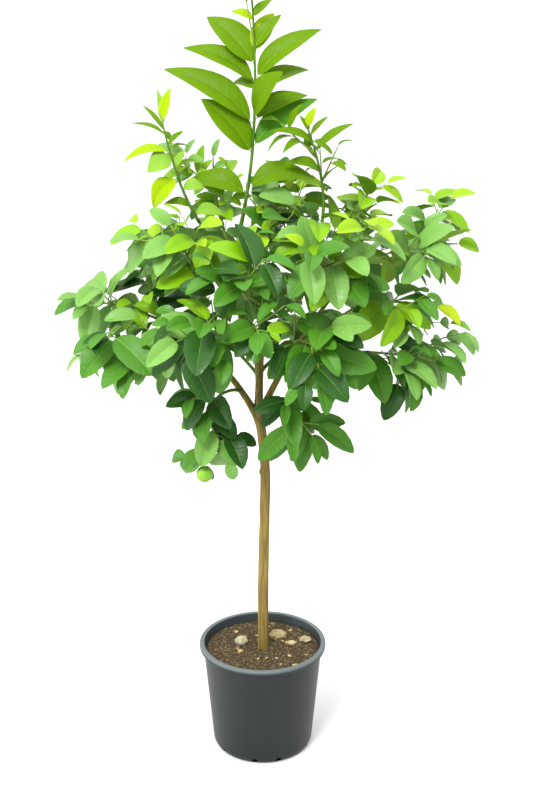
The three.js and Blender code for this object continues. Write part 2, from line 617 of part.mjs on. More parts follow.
// Each leaf tries its own place on the spiral first, then turns, droops or shrinks to fit.
const LEAF_TRIES = [
  { turn: 0, sag: 0, size: 1 },
  { turn: 30, sag: 0, size: 1 },
  { turn: -30, sag: 0, size: 1 },
  { turn: 0, sag: 0.4, size: 1 },
  { turn: 60, sag: 0.2, size: 0.9 },
  { turn: -60, sag: 0.2, size: 0.9 },
  { turn: 100, sag: 0, size: 0.85 },
  { turn: -100, sag: 0, size: 0.85 },
  { turn: 140, sag: 0.3, size: 0.75 },
  { turn: -140, sag: 0.3, size: 0.75 },
];
const SHOOT_LEAF_TURNS = [0, 8, -8, 16, -16, 24, -24, 40, -40];

// Keeps the leaf, and returns true, where it stays in its space and clear of wood and leaves.
function placeLeaf(name, leaf, owner, wood, all) {
  leaf.mass = name;
  const { corners, rim, spokes } = leafEdges(leaf);
  if (!corners.slice(1).every((corner) => inSpace(name, corner))) return false;
  if (touchesWood(leaf, wood, owner)) return false;
  const near = all.filter((other) => other.root.distanceTo(leaf.root) < other.length + leaf.length);
  const edges = [...rim, ...spokes];
  const meets = (other) => {
    const room = roomBetween(leaf, other);
    return pierced(other, edges, room) || pierced(leaf, other.edges, room);
  };
  if (near.some(meets)) return false;
  leaf.edges = [...rim.slice(1, -1), ...spokes];
  all.push(leaf);
  return true;
}

// A leaf faces away from a line a little behind the trunk, more to the front or back than aside.
function awayFromMiddle(place) {
  return new THREE.Vector3(place.x * FACING_ASIDE, place.y - FACING_CENTRE, 0).normalize();
}

// How far a leaf turns its face outwards: much low in the crown, little at its top.
function facingOut(level) {
  const rise = (level - FACING_LOW_HEIGHT) / (FACING_HIGH_HEIGHT - FACING_LOW_HEIGHT);
  return lerp(FACING_OUT_LOW, FACING_OUT_HIGH, clamp(rise, 0, 1));
}

// A twig bears leaves in a spiral, smaller towards its tip.
function growSpiralLeaves({ name, mass, random }, { owner, curve, from }, wood, all) {
  const full = leafLength(mass);
  const spacing = LEAF_SPACING * (full / LEAF_SPACING_SIZE) ** LEAF_SPACING_POWER;
  const run = curve.getPoint(0).distanceTo(curve.getPoint(1)) * (1 - from);
  const count = Math.max(2, Math.round(run / spacing));
  const phase = random() * 360;
  const leaves = [];
  for (let k = 0; k <= count; k++) {
    const place = curve.getPoint(lerp(from, LEAVES_END, k / count));
    const forward = curve.getTangent(lerp(from, LEAVES_END, k / count));
    const atTip = clamp((k / count - TIP_FROM_SHARE) / (1 - TIP_FROM_SHARE), 0, 1);
    const length = full * lerp(LOW_LEAF_SIZE, TIP_LEAF_SIZE, atTip) * between(LEAF_SIZE_RANGE, random());
    const fold = between(LEAF_FOLD_RANGE, random());
    const arch = between(LEAF_ARCH_RANGE, random());
    const angle = rad(k === count ? LEAF_END_ANGLE : between(LEAF_SPREAD_RANGE, random()));
    const roll = rad(between(LEAF_ROLL_RANGE, random()));
    const outward = awayFromMiddle(place);
    const grown = LEAF_TRIES.map(({ turn, sag, size }) => () => {
      const along = sideways(forward, phase + k * SPIRAL + turn).multiplyScalar(Math.sin(angle));
      along.addScaledVector(forward, Math.cos(angle));
      along.z *= LEAF_LEVELLING;
      along.addScaledVector(UP, -leafDroop(mass) - sag).normalize();
      const facing = UP.clone().multiplyScalar(FACING_UP).addScaledVector(outward, facingOut(place.z));
      facing.addScaledVector(forward, FACING_FORWARD).applyAxisAngle(along, roll);
      const root = place.clone().addScaledVector(along, -LEAF_ROOT_SUNK);
      return makeLeaf({ root, along, facing, length: length * size, fold, arch, width: mass.wide });
    });
    leaves.push(firstThatFits(grown, name, owner, wood, all));
  }
  return leaves;
}

// A shoot's stem bears leaves where its table puts them, or turned a little to fit.
function growShootLeaves({ name }, { owner, curve }, wood, all) {
  const height = curve.getPoint(1).z - curve.getPoint(0).z;
  return SHOOT_LEAVES[name].map(({ above, turn, length, steep, wide: width }) => {
    const place = curve.getPoint(Math.min(above / height, LEAVES_END));
    const grown = SHOOT_LEAF_TURNS.map((more) => () => {
      const outward = new THREE.Vector3(Math.cos(rad(turn + more)), Math.sin(rad(turn + more)), 0);
      const along = outward.clone().multiplyScalar(Math.cos(rad(steep)));
      along.addScaledVector(UP, Math.sin(rad(steep)));
      const facing = UP.clone().addScaledVector(BACK, -SHOOT_FACING_FRONT);
      facing.addScaledVector(outward, -SHOOT_FACING_BACK);
      const root = place.clone().addScaledVector(along, -LEAF_ROOT_SUNK);
      const [fold, arch] = [SHOOT_LEAF_FOLD, SHOOT_LEAF_ARCH];
      return makeLeaf({ root, along, facing, length, fold, arch, width });
    });
    return firstThatFits(grown, name, owner, wood, all);
  });
}

function growLeaves(growth, wood, all) {
  const grown = growth.twigs.flatMap((twig, i) => {
    const byTable = i === 0 && growth.name in SHOOT_LEAVES;
    return (byTable ? growShootLeaves : growSpiralLeaves)(growth, twig, wood, all);
  });
  return grown.filter(Boolean);
}

function firstThatFits(grown, name, owner, wood, all) {
  for (const grow of grown) {
    const leaf = grow();
    if (placeLeaf(name, leaf, owner, wood, all)) return leaf;
  }
  return null;
}

// A young fruit hangs at the end of a mass's stem, the stem's end sunk into it.
function fruitCentre({ twigs: [{ curve }] }) {
  return curve.getPoint(1).addScaledVector(curve.getTangent(1), FRUIT_RADIUS - FRUIT_SUNK);
}

function fruitSolid(centre) {
  const ball = new THREE.SphereGeometry(FRUIT_RADIUS, 8, 5).rotateX(Math.PI / 2);
  return solidOf(ball.translate(centre.x, centre.y, centre.z));
}

// The foliage: all twigs and fruit grow before any leaf, so that every leaf can keep clear of them.
const wood = Object.entries(limbs).flatMap(([name, { curve, radiusAt }]) => {
  return placesAlong(name, curve, radiusAt);
});
const growths = Object.entries(MASSES).map(([name, mass]) => {
  const growth = growTwigs(name, mass, wood);
  for (const { owner, curve, thick } of growth.twigs) wood.push(...placesAlong(owner, curve, () => thick));
  if (mass.fruit) wood.push({ owner: "fruit", place: fruitCentre(growth), radius: FRUIT_RADIUS });
  return growth;
});

const allLeaves = [];
for (const growth of growths) growth.leaves = growLeaves(growth, wood, allLeaves);

// A mass is one solid: its twigs, leaves and fruit fused, and cut clear of the limbs.
function makeMass({ mass, twigs, leaves }, limbsGrown) {
  const pieces = twigs.map(({ curve, thick }, i) => {
    const radiusAt = (share) => thick * lerp(1, TWIG_TAPER, share);
    return limb(curve, radiusAt, TWIG_SIDES, i ? 1 : STEM_STEPS);
  });
  pieces.push(...leaves.map(leafSolid));
  if (mass.fruit) pieces.push(fruitSolid(fruitCentre({ twigs })));
  return largestBody(wasm.Manifold.union(pieces).subtract(limbsGrown));
}

const { made: boughs, clear: limbsGrown } = makeBoughs();
const object = new THREE.Group();
object.add(meshOf("pot", makePot(), plastic));
object.add(meshOf("soil", makeSoil(), earth));
for (const [name, stone] of Object.entries(STONES)) object.add(meshOf(name, makeStone(stone), paleStone));
object.add(meshOf("trunk", makeTrunk(0), bark));
for (const [name, solid] of Object.entries(boughs)) object.add(meshOf("bough_" + name, solid, greenBark));
for (const growth of growths) {
  const green = growth.name in SHOOT_LEAVES ? freshGreen : leafGreen;
  object.add(meshOf("foliage_" + growth.name, makeMass(growth, limbsGrown), green));
}

export default object;
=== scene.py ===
# %% [markdown]
# # A young bergamot orange tree in a nursery pot
# A citrus tree grown as a short standard: a slim bare trunk, a fork, a round crown of glossy
# leaves, and one strong leader that shoots out of its top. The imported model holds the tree's true
# sizes, so it is loaded first, and everything below is made around it.

# %% Load the frame
import math

import bmesh
import bpy
import numpy as np
from mathutils import Matrix, Vector, noise


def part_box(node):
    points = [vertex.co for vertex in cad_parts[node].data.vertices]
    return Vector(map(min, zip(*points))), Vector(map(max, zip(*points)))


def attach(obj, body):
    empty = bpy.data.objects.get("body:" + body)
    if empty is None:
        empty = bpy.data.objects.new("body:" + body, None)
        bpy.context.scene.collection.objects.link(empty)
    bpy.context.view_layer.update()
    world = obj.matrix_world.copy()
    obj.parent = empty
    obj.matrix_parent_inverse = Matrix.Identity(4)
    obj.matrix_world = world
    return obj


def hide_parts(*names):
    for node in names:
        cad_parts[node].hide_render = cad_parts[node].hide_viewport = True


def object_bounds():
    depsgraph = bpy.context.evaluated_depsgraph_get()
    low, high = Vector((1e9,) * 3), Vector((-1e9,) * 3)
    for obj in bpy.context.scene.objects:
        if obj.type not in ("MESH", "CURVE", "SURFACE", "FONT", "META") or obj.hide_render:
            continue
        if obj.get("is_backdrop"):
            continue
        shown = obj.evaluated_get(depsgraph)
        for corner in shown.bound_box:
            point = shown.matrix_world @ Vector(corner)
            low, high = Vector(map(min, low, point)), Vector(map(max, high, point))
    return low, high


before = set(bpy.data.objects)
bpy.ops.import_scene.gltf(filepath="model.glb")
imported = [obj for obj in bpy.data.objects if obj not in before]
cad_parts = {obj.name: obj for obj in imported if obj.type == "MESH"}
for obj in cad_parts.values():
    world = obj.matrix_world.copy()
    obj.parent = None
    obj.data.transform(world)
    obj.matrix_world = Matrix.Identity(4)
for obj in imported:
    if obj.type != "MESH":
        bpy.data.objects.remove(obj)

MM = 0.001
cad_low, cad_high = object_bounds()
print("nodes:", len(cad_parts), "height:", round(cad_high.z - cad_low.z, 3), "m")

# %% [markdown]
# ## Camera, floor and light
# The photograph was taken from about eye height, a little more than two metres away, looking
# slightly down. The tree stands on a plain white floor in the soft light of a studio: a white
# surrounding that is brightest above, a large lamp high at the camera's left, and a weaker one
# low at the tree's left.

# %% The camera
CAMERA_PLACE = (0.0074, -2.3, 1.4814)
CAMERA_PITCH = 71.19
CAMERA_LENS = 60.88
CAMERA_SENSOR = 36

camera = bpy.data.objects.new("camera", bpy.data.cameras.new("camera"))
bpy.context.scene.collection.objects.link(camera)
camera.data.sensor_fit = "VERTICAL"
camera.data.sensor_height = CAMERA_SENSOR
camera.data.lens = CAMERA_LENS
camera.location = CAMERA_PLACE
camera.rotation_euler = (math.radians(CAMERA_PITCH), 0, 0)
bpy.context.scene.camera = camera


# %% Helpers for shader nodes: each adds a node, sets it and links what is given to it
def shader_node(tree, kind, inputs=(), **settings):
    node = tree.nodes.new("ShaderNode" + kind)
    for name, value in settings.items():
        setattr(node, name, value)
    for socket, value in dict(inputs).items():
        if isinstance(value, bpy.types.NodeSocket):
            tree.links.new(value, node.inputs[socket])
        else:
            node.inputs[socket].default_value = value
    return node


def mixed(tree, factor, first, second):
    """The colour between two, as a mask says."""
    return shader_node(tree, "Mix", {0: factor, 6: first, 7: second}, data_type="RGBA").outputs[2]


def worked_out(tree, operation, *values):
    """The answer of a sum."""
    return shader_node(tree, "Math", dict(enumerate(values)), operation=operation).outputs[0]


def ramp(tree, value, start, end, low=0.0, high=1.0, smooth=True):
    """Runs from low to high while a value runs from start to end."""
    limits = {"Value": value, "From Min": start, "From Max": end, "To Min": low, "To Max": high}
    kind = "SMOOTHSTEP" if smooth else "LINEAR"
    return shader_node(tree, "MapRange", limits, interpolation_type=kind).outputs["Result"]


def shade(red, green, blue):
    """A colour as it looks on a screen, from 0 to 255, made into the linear one that nodes use."""
    parts = np.array([red, green, blue]) / 255
    return (*np.where(parts > 0.04045, ((parts + 0.055) / 1.055) ** 2.4, parts / 12.92), 1.0)


# %% The floor
FLOOR_HALF = 60
FLOOR_LOOK = {"Base Color": (0.72, 0.72, 0.72, 1), "Roughness": 0.9, "Specular IOR Level": 0.1}

shape = bmesh.new()
bmesh.ops.create_grid(shape, x_segments=8, y_segments=8, size=FLOOR_HALF)
floor_mesh = bpy.data.meshes.new("floor")
shape.to_mesh(floor_mesh)
shape.free()
floor = bpy.data.objects.new("floor", floor_mesh)
bpy.context.scene.collection.objects.link(floor)
paper = bpy.data.materials.new("white_paper")
paper.use_nodes = True
for socket, value in FLOOR_LOOK.items():
    paper.node_tree.nodes["Principled BSDF"].inputs[socket].default_value = value
floor_mesh.materials.append(paper)
floor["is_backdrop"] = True
print("floor:", 2 * FLOOR_HALF, "m wide")

# %% The white surrounding, and the lamps with their place, size and power
SKY_LEVEL = 0.25
SKY_TOP = 2.2
SKY_TOP_FROM = 0.9
SKY_LEFT = 0.12
LAMP_AIM = Vector((0, 0, 0.7))
LAMPS = {
    "lamp_left": ((-0.9, -2.4, 3.3), 1.1, 120),
    "lamp_side": ((-2.6, -0.5, 0.5), 1.2, 30),
}

world = bpy.data.worlds.new("studio")
world.use_nodes = True
tree = world.node_tree
sky = tree.nodes["Background"].inputs
sky["Color"].default_value = (1, 1, 1, 1)
way = shader_node(tree, "SeparateXYZ", {0: shader_node(tree, "TexCoord").outputs["Object"]}).outputs
upward = ramp(tree, way[2], 0, SKY_TOP_FROM, SKY_LEVEL, SKY_TOP, smooth=False)
tree.links.new(worked_out(tree, "MULTIPLY_ADD", way[0], -SKY_LEFT, upward), sky["Strength"])
bpy.context.scene.world = world
bpy.context.scene.view_settings.view_transform = "Standard"
for name, (place, size, power) in LAMPS.items():
    lamp = bpy.data.objects.new(name, bpy.data.lights.new(name, "AREA"))
    lamp.data.shape = "DISK"
    lamp.data.size = size
    lamp.data.energy = power
    lamp.location = place
    lamp.rotation_euler = (LAMP_AIM - Vector(place)).to_track_quat("-Z", "Y").to_euler()
    bpy.context.scene.collection.objects.link(lamp)
print("lamps:", list(LAMPS))

# %% [markdown]
# ## Effects that several finishes share
# Leaves, bark, plastic, soil and stone are all blotchy at their own scale, so one node group gives
# a soft mask from noise, and each finish sets its scale, its stretch and how sharp it is. A second
# group gives a leaf its skin: a paler middle and side veins that follow the leaf's own map.


# %% The blotches
def new_group(name, wanted, given):
    """A node group with named sockets, and the two ends of it that its own nodes link to."""
    group = bpy.data.node_groups.new(name, "ShaderNodeTree")
    for socket, kind, value in wanted:
        made = group.interface.new_socket(socket, in_out="INPUT", socket_type=kind)
        made.default_value = value
    for socket, kind in given:
        group.interface.new_socket(socket, in_out="OUTPUT", socket_type=kind)
    return group, group.nodes.new("NodeGroupInput").outputs, group.nodes.new("NodeGroupOutput").inputs


blotches, asked, answer = new_group(
    "blotches",
    [
        ("Place", "NodeSocketVector", (0, 0, 0)),
        ("Stretch", "NodeSocketVector", (1, 1, 1)),
        ("Scale", "NodeSocketFloat", 40),
        ("Low", "NodeSocketFloat", 0.35),
        ("High", "NodeSocketFloat", 0.65),
    ],
    [("Mask", "NodeSocketFloat"), ("Rough", "NodeSocketFloat")],
)
stretched = shader_node(
    blotches, "VectorMath", {0: asked["Place"], 1: asked["Stretch"]}, operation="MULTIPLY"
)
cloud = shader_node(
    blotches, "TexNoise", {"Vector": stretched.outputs[0], "Scale": asked["Scale"], "Detail": 4}
).outputs["Fac"]
blotches.links.new(ramp(blotches, cloud, asked["Low"], asked["High"]), answer["Mask"])
blotches.links.new(cloud, answer["Rough"])

# %% The skin of a leaf: its map runs across in U, with the middle at a half, and along in V
SIDE_VEINS = 9
VEIN_SLANT = 2.2
VEIN_BREADTH = 0.09
MIDRIB_BREADTH = 0.06
LEAF_BLOTCHES = 55
LEAF_BLOTCH_SHARE = 0.14
LEAF_GLOSS = (0.34, 0.5)

leaf_skin, asked, answer = new_group(
    "leaf_skin",
    [
        ("Blade", "NodeSocketColor", (0.1, 0.3, 0.05, 1)),
        ("Pale", "NodeSocketColor", (0.3, 0.5, 0.2, 1)),
        ("Veins", "NodeSocketFloat", 0.3),
    ],
    [("Colour", "NodeSocketColor"), ("Roughness", "NodeSocketFloat"), ("Height", "NodeSocketFloat")],
)
place = shader_node(leaf_skin, "TexCoord").outputs
leaf_map = shader_node(leaf_skin, "SeparateXYZ", {0: place["UV"]}).outputs
across = worked_out(leaf_skin, "ABSOLUTE", worked_out(leaf_skin, "SUBTRACT", leaf_map[0], 0.5))
slant = worked_out(leaf_skin, "MULTIPLY", across, -VEIN_SLANT)
rows = worked_out(leaf_skin, "MULTIPLY_ADD", leaf_map[1], SIDE_VEINS, slant)
vein = ramp(leaf_skin, worked_out(leaf_skin, "PINGPONG", rows, 0.5), VEIN_BREADTH, 0)
midrib = ramp(leaf_skin, across, MIDRIB_BREADTH, 0)
lines = worked_out(leaf_skin, "MAXIMUM", vein, midrib)
lines = worked_out(leaf_skin, "MULTIPLY", lines, asked["Veins"])
cloudy = shader_node(
    leaf_skin, "Group", node_tree=blotches, inputs={"Place": place["Object"], "Scale": LEAF_BLOTCHES}
).outputs["Mask"]
tint = worked_out(leaf_skin, "MULTIPLY_ADD", cloudy, LEAF_BLOTCH_SHARE, lines)
gloss = ramp(leaf_skin, cloudy, 0, 1, *LEAF_GLOSS, smooth=False)
leaf_skin.links.new(mixed(leaf_skin, tint, asked["Blade"], asked["Pale"]), answer["Colour"])
leaf_skin.links.new(gloss, answer["Roughness"])
leaf_skin.links.new(lines, answer["Height"])
print("node groups:", blotches.name, "and", leaf_skin.name)


# %% A finish with its colour, roughness and relief, and one of two blotchy tones
def new_finish(name, shine):
    material = bpy.data.materials.new(name)
    material.use_nodes = True
    tree = material.node_tree
    tree.nodes["Principled BSDF"].inputs["Specular IOR Level"].default_value = shine
    return material, tree


def link_looks(tree, colour, roughness, height, depth):
    """Links a colour, a roughness and a relief, whose depth is in millimetres."""
    shader = tree.nodes["Principled BSDF"]
    relief = shader_node(tree, "Bump", {"Height": height, "Distance": depth * MM, "Strength": 1.0})
    tree.links.new(colour, shader.inputs["Base Color"])
    tree.links.new(roughness, shader.inputs["Roughness"])
    tree.links.new(relief.outputs["Normal"], shader.inputs["Normal"])


def two_tone(name, tones, scale, roughness, depth, stretch=(1, 1, 1), edges=(0.35, 0.65), shine=0.25):
    material, tree = new_finish(name, shine)
    wanted = {"Stretch": stretch, "Scale": scale, "Low": edges[0], "High": edges[1]}
    wanted["Place"] = shader_node(tree, "TexCoord").outputs["Object"]
    cloudy = shader_node(tree, "Group", node_tree=blotches, inputs=wanted).outputs
    colour = mixed(tree, cloudy["Mask"], shade(*tones[0]), shade(*tones[1]))
    gloss = ramp(tree, cloudy["Rough"], 0, 1, *roughness, smooth=False)
    link_looks(tree, colour, gloss, cloudy["Rough"], depth)
    return material


def lay_over(material, factor, tone):
    """Lays one more tone over a finish where a mask is 1."""
    tree = material.node_tree
    base = tree.nodes["Principled BSDF"].inputs["Base Color"]
    tree.links.new(mixed(tree, factor, base.links[0].from_socket, shade(*tone)), base)


# %% [markdown]
# ## The pot
# The pot is a thin plastic nursery pot, moulded in one piece: tapered walls, a rounded lip that
# stands out, a ring foot, and five pairs of drain holes cut into its lower corner. Its profile is a
# chain of points with rounded corners, spun all round, and the drain holes are cut out of it.

# %% A helper that makes a shown piece from a bmesh or a mesh
def shown_piece(name, shape, materials, nodes):
    """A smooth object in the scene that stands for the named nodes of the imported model."""
    mesh = shape
    if isinstance(shape, bmesh.types.BMesh):
        mesh = bpy.data.meshes.new(name)
        shape.to_mesh(mesh)
        shape.free()
    for material in materials:
        mesh.materials.append(material)
    mesh.shade_smooth()
    piece = bpy.data.objects.new(name, mesh)
    bpy.context.scene.collection.objects.link(piece)
    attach(piece, "root")
    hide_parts(*nodes)
    print(name, "-", len(mesh.vertices), "corners", len(mesh.polygons), "faces")
    return piece


# %% A helper that spins a profile
SPUN_STEPS = 128
SAME_PLACE = 0.00002


def spun(profile, rounded):
    """A profile of radius and height, in millimetres, with its named corners rounded, spun round."""
    shape = bmesh.new()
    corners = [shape.verts.new((r * MM, 0, z * MM)) for r, z in profile]
    for first, second in zip(corners, corners[1:]):
        shape.edges.new((first, second))
    for index, radius in rounded.items():
        bmesh.ops.bevel(
            shape,
            geom=[corners[index]],
            offset=radius * MM,
            offset_type="OFFSET",
            segments=4,
            profile=0.5,
            affect="VERTICES",
            material=-1,
        )
    bmesh.ops.spin(
        shape,
        geom=shape.verts[:] + shape.edges[:],
        axis=(0, 0, 1),
        cent=(0, 0, 0),
        angle=math.tau,
        steps=SPUN_STEPS,
        use_merge=True,
    )
    bmesh.ops.remove_doubles(shape, verts=shape.verts[:], dist=SAME_PLACE)
    bmesh.ops.recalc_face_normals(shape, faces=shape.faces[:])
    return shape


# %% The pot's profile, as radius and height, with the corners that are rounded
POT_PROFILE = [
    (0, 0), (22, 0), (25, 3), (78, 3), (81, 0), (89, 0), (95, 9), (112.5, 201), (118.6, 202.4),
    (120, 204), (120, 213), (111, 213), (109.7, 201), (93, 9), (87, 5.5), (0, 5.5),
]
POT_ROUNDED = {
    3: 1, 4: 1.2, 5: 3, 6: 5, 7: 0.7, 8: 0.6, 9: 0.8, 10: 2.6, 11: 1.4, 12: 4, 13: 4, 14: 3,
}
pot_shape = spun(POT_PROFILE, POT_ROUNDED)

# %% The drain holes, as a tool that cuts them
DRAIN_PAIRS = 5
DRAIN_TURN = 5
DRAIN_HALF_SPREAD = 14
DRAIN_RADIUS = 5.5
DRAIN_DEPTH = 24
DRAIN_PLACE = (89, 0, 6)

drains = bmesh.new()
for pair in range(DRAIN_PAIRS):
    for side in (-1, 1):
        turn = DRAIN_TURN + pair * 360 / DRAIN_PAIRS + side * DRAIN_HALF_SPREAD - 90
        bmesh.ops.create_cone(
            drains,
            cap_ends=True,
            segments=24,
            radius1=DRAIN_RADIUS * MM,
            radius2=DRAIN_RADIUS * MM,
            depth=DRAIN_DEPTH * MM,
            matrix=Matrix.Rotation(math.radians(turn), 4, "Z")
            @ Matrix.Translation(Vector(DRAIN_PLACE) * MM)
            @ Matrix.Rotation(math.radians(90), 4, "Y"),
        )
drain_mesh = bpy.data.meshes.new("drains")
drains.to_mesh(drain_mesh)
drains.free()
drain_tool = bpy.data.objects.new("drain_tool", drain_mesh)
bpy.context.scene.collection.objects.link(drain_tool)

# %% The plastic: dark grey-green and smooth, its lip paler with dust and a painted highlight, and painted light on its inner wall
LIP_HEIGHTS = (0.205, 0.2125)
LIP_DUST_AND_HIGHLIGHT = 0.8
INNER_RADII = (0.1118, 0.1108)
INNER_HEIGHTS = (0.196, 0.197)

plastic = two_tone(
    "pot_plastic", [(18, 25, 24), (24, 31, 30)], 9, (0.42, 0.52), 0.12, stretch=(3, 3, 1), shine=0.34
)
tree = plastic.node_tree
way = shader_node(tree, "SeparateXYZ", {0: tree.nodes["Texture Coordinate"].outputs["Object"]}).outputs
# The top of the lip gets a paler grey: partly dust, partly a painted highlight of the light from above
lay_over(plastic, ramp(tree, way[2], *LIP_HEIGHTS, high=LIP_DUST_AND_HIGHLIGHT), (106, 114, 115))
# Above the soil the inner wall gets a paler grey: painted light on the inside of the pot
level_way = shader_node(tree, "CombineXYZ", {0: way[0], 1: way[1]}).outputs[0]
from_middle = shader_node(tree, "VectorMath", {0: level_way}, operation="LENGTH").outputs["Value"]
within = ramp(tree, from_middle, *INNER_RADII, smooth=False)
above_soil = ramp(tree, way[2], *INNER_HEIGHTS, smooth=False)
lay_over(plastic, worked_out(tree, "MULTIPLY", within, above_soil), (56, 64, 66))

# %% The pot, with its drain holes cut
POT_SHARP_ANGLE = 40

pot = shown_piece("pot_shell", pot_shape, [plastic], ["pot"])
cut = pot.modifiers.new("drains", "BOOLEAN")
cut.object = drain_tool
cut.operation = "DIFFERENCE"
cut.solver = "EXACT"
bpy.context.view_layer.update()
cut_pot = bpy.data.meshes.new_from_object(pot.evaluated_get(bpy.context.evaluated_depsgraph_get()))
pot.modifiers.clear()
pot.data = cut_pot
pot.data.name = "pot_shell"
bpy.data.objects.remove(drain_tool)
pot.data.set_sharp_from_angle(angle=math.radians(POT_SHARP_ANGLE))
print("pot:", len(pot.data.polygons), "faces after the drain holes")

# %% [markdown]
# ## Chance that repeats
# Crumbs, twigs and leaves look natural when their sizes and angles vary, yet they have to come out
# the same each time. A seeded generator gives such numbers: each one follows from the last by a
# fixed sum.


# %% Seeded numbers, so that each run gives the same tree
def seeded_random(seed):
    """A function that gives the next number from 0 to 1 each time it is called."""
    state = seed

    def draw():
        nonlocal state
        state = (state * 1664525 + 1013904223) % 4294967296
        return state / 4294967296

    return draw


def between(ends, share):
    """The value at a share of the way from one end to the other."""
    return ends[0] + (ends[1] - ends[0]) * share


def clamped(value):
    return min(max(value, 0), 1)


# %% [markdown]
# ## The soil
# The pot is filled with a dry, crumbly mix to a little below its rim. A lumpy disc carries the
# dark colour of the gaps, partly the soil's own and partly painted shade between the crumbs, and
# hundreds of small crumbs of a few faces lie half sunk in it, in three tones, with some thin chips
# of bark and stone. The crumbs are copies of one rough ball, joined.

# %% The lumpy body of soil; each of its waves has a width, a layer of the noise and a strength
SOIL_TOP = 198
SOIL_RADIUS = 108.6
SOIL_PROFILE = [(0, SOIL_TOP)] + [(r, SOIL_TOP) for r in range(4, 108, 3)]
SOIL_PROFILE += [(SOIL_RADIUS, SOIL_TOP), (92.5, 9), (86, 5.9), (0, 5.9)]
SOIL_LUMP = 2.2
SOIL_WAVES = [(26, 3.1, 1.2), (9, 7.7, 1)]
SOIL_EDGE = 12
SOIL_EDGE_SUNK = 1.5
SOIL_LUMP_MOST = 2.5


def soil_height(x, y):
    """How far the soil stands above or below its level, in millimetres."""
    lump = sum(most * noise.noise(Vector((x / wide, y / wide, layer))) for wide, layer, most in SOIL_WAVES)
    inner = clamped((SOIL_RADIUS - math.hypot(x, y)) / SOIL_EDGE)
    return SOIL_LUMP * lump * inner - (1 - inner) * SOIL_EDGE_SUNK


soil_shape = spun(SOIL_PROFILE, {})
for corner in soil_shape.verts:
    if corner.co.z > (SOIL_TOP - 1) * MM:
        corner.co.z += min(soil_height(corner.co.x / MM, corner.co.y / MM), SOIL_LUMP_MOST) * MM
# The body's dark tones are partly the soil's own and partly painted shade of the gaps between crumbs
earth_and_gap_shade = two_tone("earth_and_gap_shade", [(40, 33, 22), (84, 72, 50)], 420, (0.85, 1), 0.8)
shown_piece("soil_body", soil_shape, [earth_and_gap_shade], ["soil"])


# %% Copies of one small shape, joined into one mesh
def template(shape):
    """A bmesh's corners and faces, as numbers that can be copied."""
    shape.verts.ensure_lookup_table()
    corners = np.array([corner.co[:] for corner in shape.verts])
    faces = [[corner.index for corner in face.verts] for face in shape.faces]
    shape.free()
    return corners, faces


def joined_copies(name, places, faces):
    """places holds copies x corners x 3, in millimetres, for a template's faces."""
    copies, corners = places.shape[:2]
    mesh = bpy.data.meshes.new(name)
    shifted = [[i + k * corners for i in face] for k in range(copies) for face in faces]
    mesh.from_pydata((places.reshape(-1, 3) * MM).tolist(), [], shifted)
    return mesh


# %% One crumb
CRUMB_SIZE_POWER = 1.6
CRUMB_EDGE_GAP = 2
CRUMB_ROUGHNESS = (0.75, 1.25)
CRUMB_BREADTH = (0.6, 1)
CRUMB_TILT = (-0.5, 0.5)
CRUMB_PROUD = 0.22
CRUMB_HIGHEST = 6

ball = bmesh.new()
bmesh.ops.create_icosphere(ball, subdivisions=1, radius=0.5)
ball_corners, ball_faces = template(ball)


def crumb(sizes, flatness, nearest):
    """The corners of a rough flat ball that lies half sunk somewhere on the soil."""
    size = between(sizes, random() ** CRUMB_SIZE_POWER)
    away = max(math.sqrt(random()) * (SOIL_RADIUS - CRUMB_EDGE_GAP - size / 2), nearest)
    turn = random() * math.tau
    x, y = away * math.cos(turn), away * math.sin(turn)
    rough = np.array([between(CRUMB_ROUGHNESS, random()) for corner in ball_corners])
    breadth = between(CRUMB_BREADTH, random())
    shape = ball_corners * rough[:, None] * (size, size * breadth, size * flatness)
    tilt = Matrix.Rotation(between(CRUMB_TILT, random()), 3, "X")
    spin = Matrix.Rotation(random() * math.tau, 3, "Z") @ tilt
    level = min(SOIL_TOP + soil_height(x, y) + size * flatness * CRUMB_PROUD, SOIL_TOP + CRUMB_HIGHEST)
    return shape @ np.array(spin).T + (x, y, level)


# %% Crumbs and chips: how many, their sizes, how flat, how far from the trunk, and their tones
CRUMB_SEED = 41
CRUMB_KINDS = {
    "crumbs_dark": (900, (2.2, 6.4), 0.75, 0, [(66, 56, 38), (104, 90, 64)]),
    "crumbs_brown": (900, (1.8, 5.0), 0.7, 0, [(96, 82, 56), (130, 113, 80)]),
    "crumbs_tan": (170, (1.6, 4.0), 0.6, 0, [(140, 121, 84), (176, 156, 114)]),
    "chips": (30, (6.5, 13), 0.3, 45, [(150, 126, 78), (190, 168, 116)]),
}

random = seeded_random(CRUMB_SEED)
for name, (count, sizes, flatness, nearest, tones) in CRUMB_KINDS.items():
    crumbs = np.array([crumb(sizes, flatness, nearest) for k in range(count)])
    earth = two_tone(name, tones, 300, (0.85, 1), 0.5)
    shown_piece(name, joined_copies(name, crumbs, ball_faces), [earth], ["soil"]).data.shade_flat()

# %% [markdown]
# ## The stones on the soil
# One pale rounded pebble lies left of the trunk, and three flakes of pale stone lie behind and
# right of it. Each is a ball with many faces, pushed in and out by noise and flattened, that fits
# the box its solid takes up, with its foot just in the soil.

# %% Stones: a seed, a roughness and two tones; each crack has a fineness and a strength
STONES = {
    "stone_pale": (3, 0.16, [(178, 170, 142), (150, 141, 112)]),
    "stone_flake_back": (5, 0.4, [(170, 158, 116), (138, 124, 84)]),
    "stone_flake_middle": (8, 0.36, [(186, 174, 126), (150, 138, 98)]),
    "stone_flake_right": (13, 0.34, [(180, 172, 136), (150, 142, 106)]),
}
STONE_CRACKS = [(1, 1), (2.3, 0.5), (5.1, 0.25)]
STONE_NOISE = 2.4
STONE_HEIGHT_SHARE = 1.3

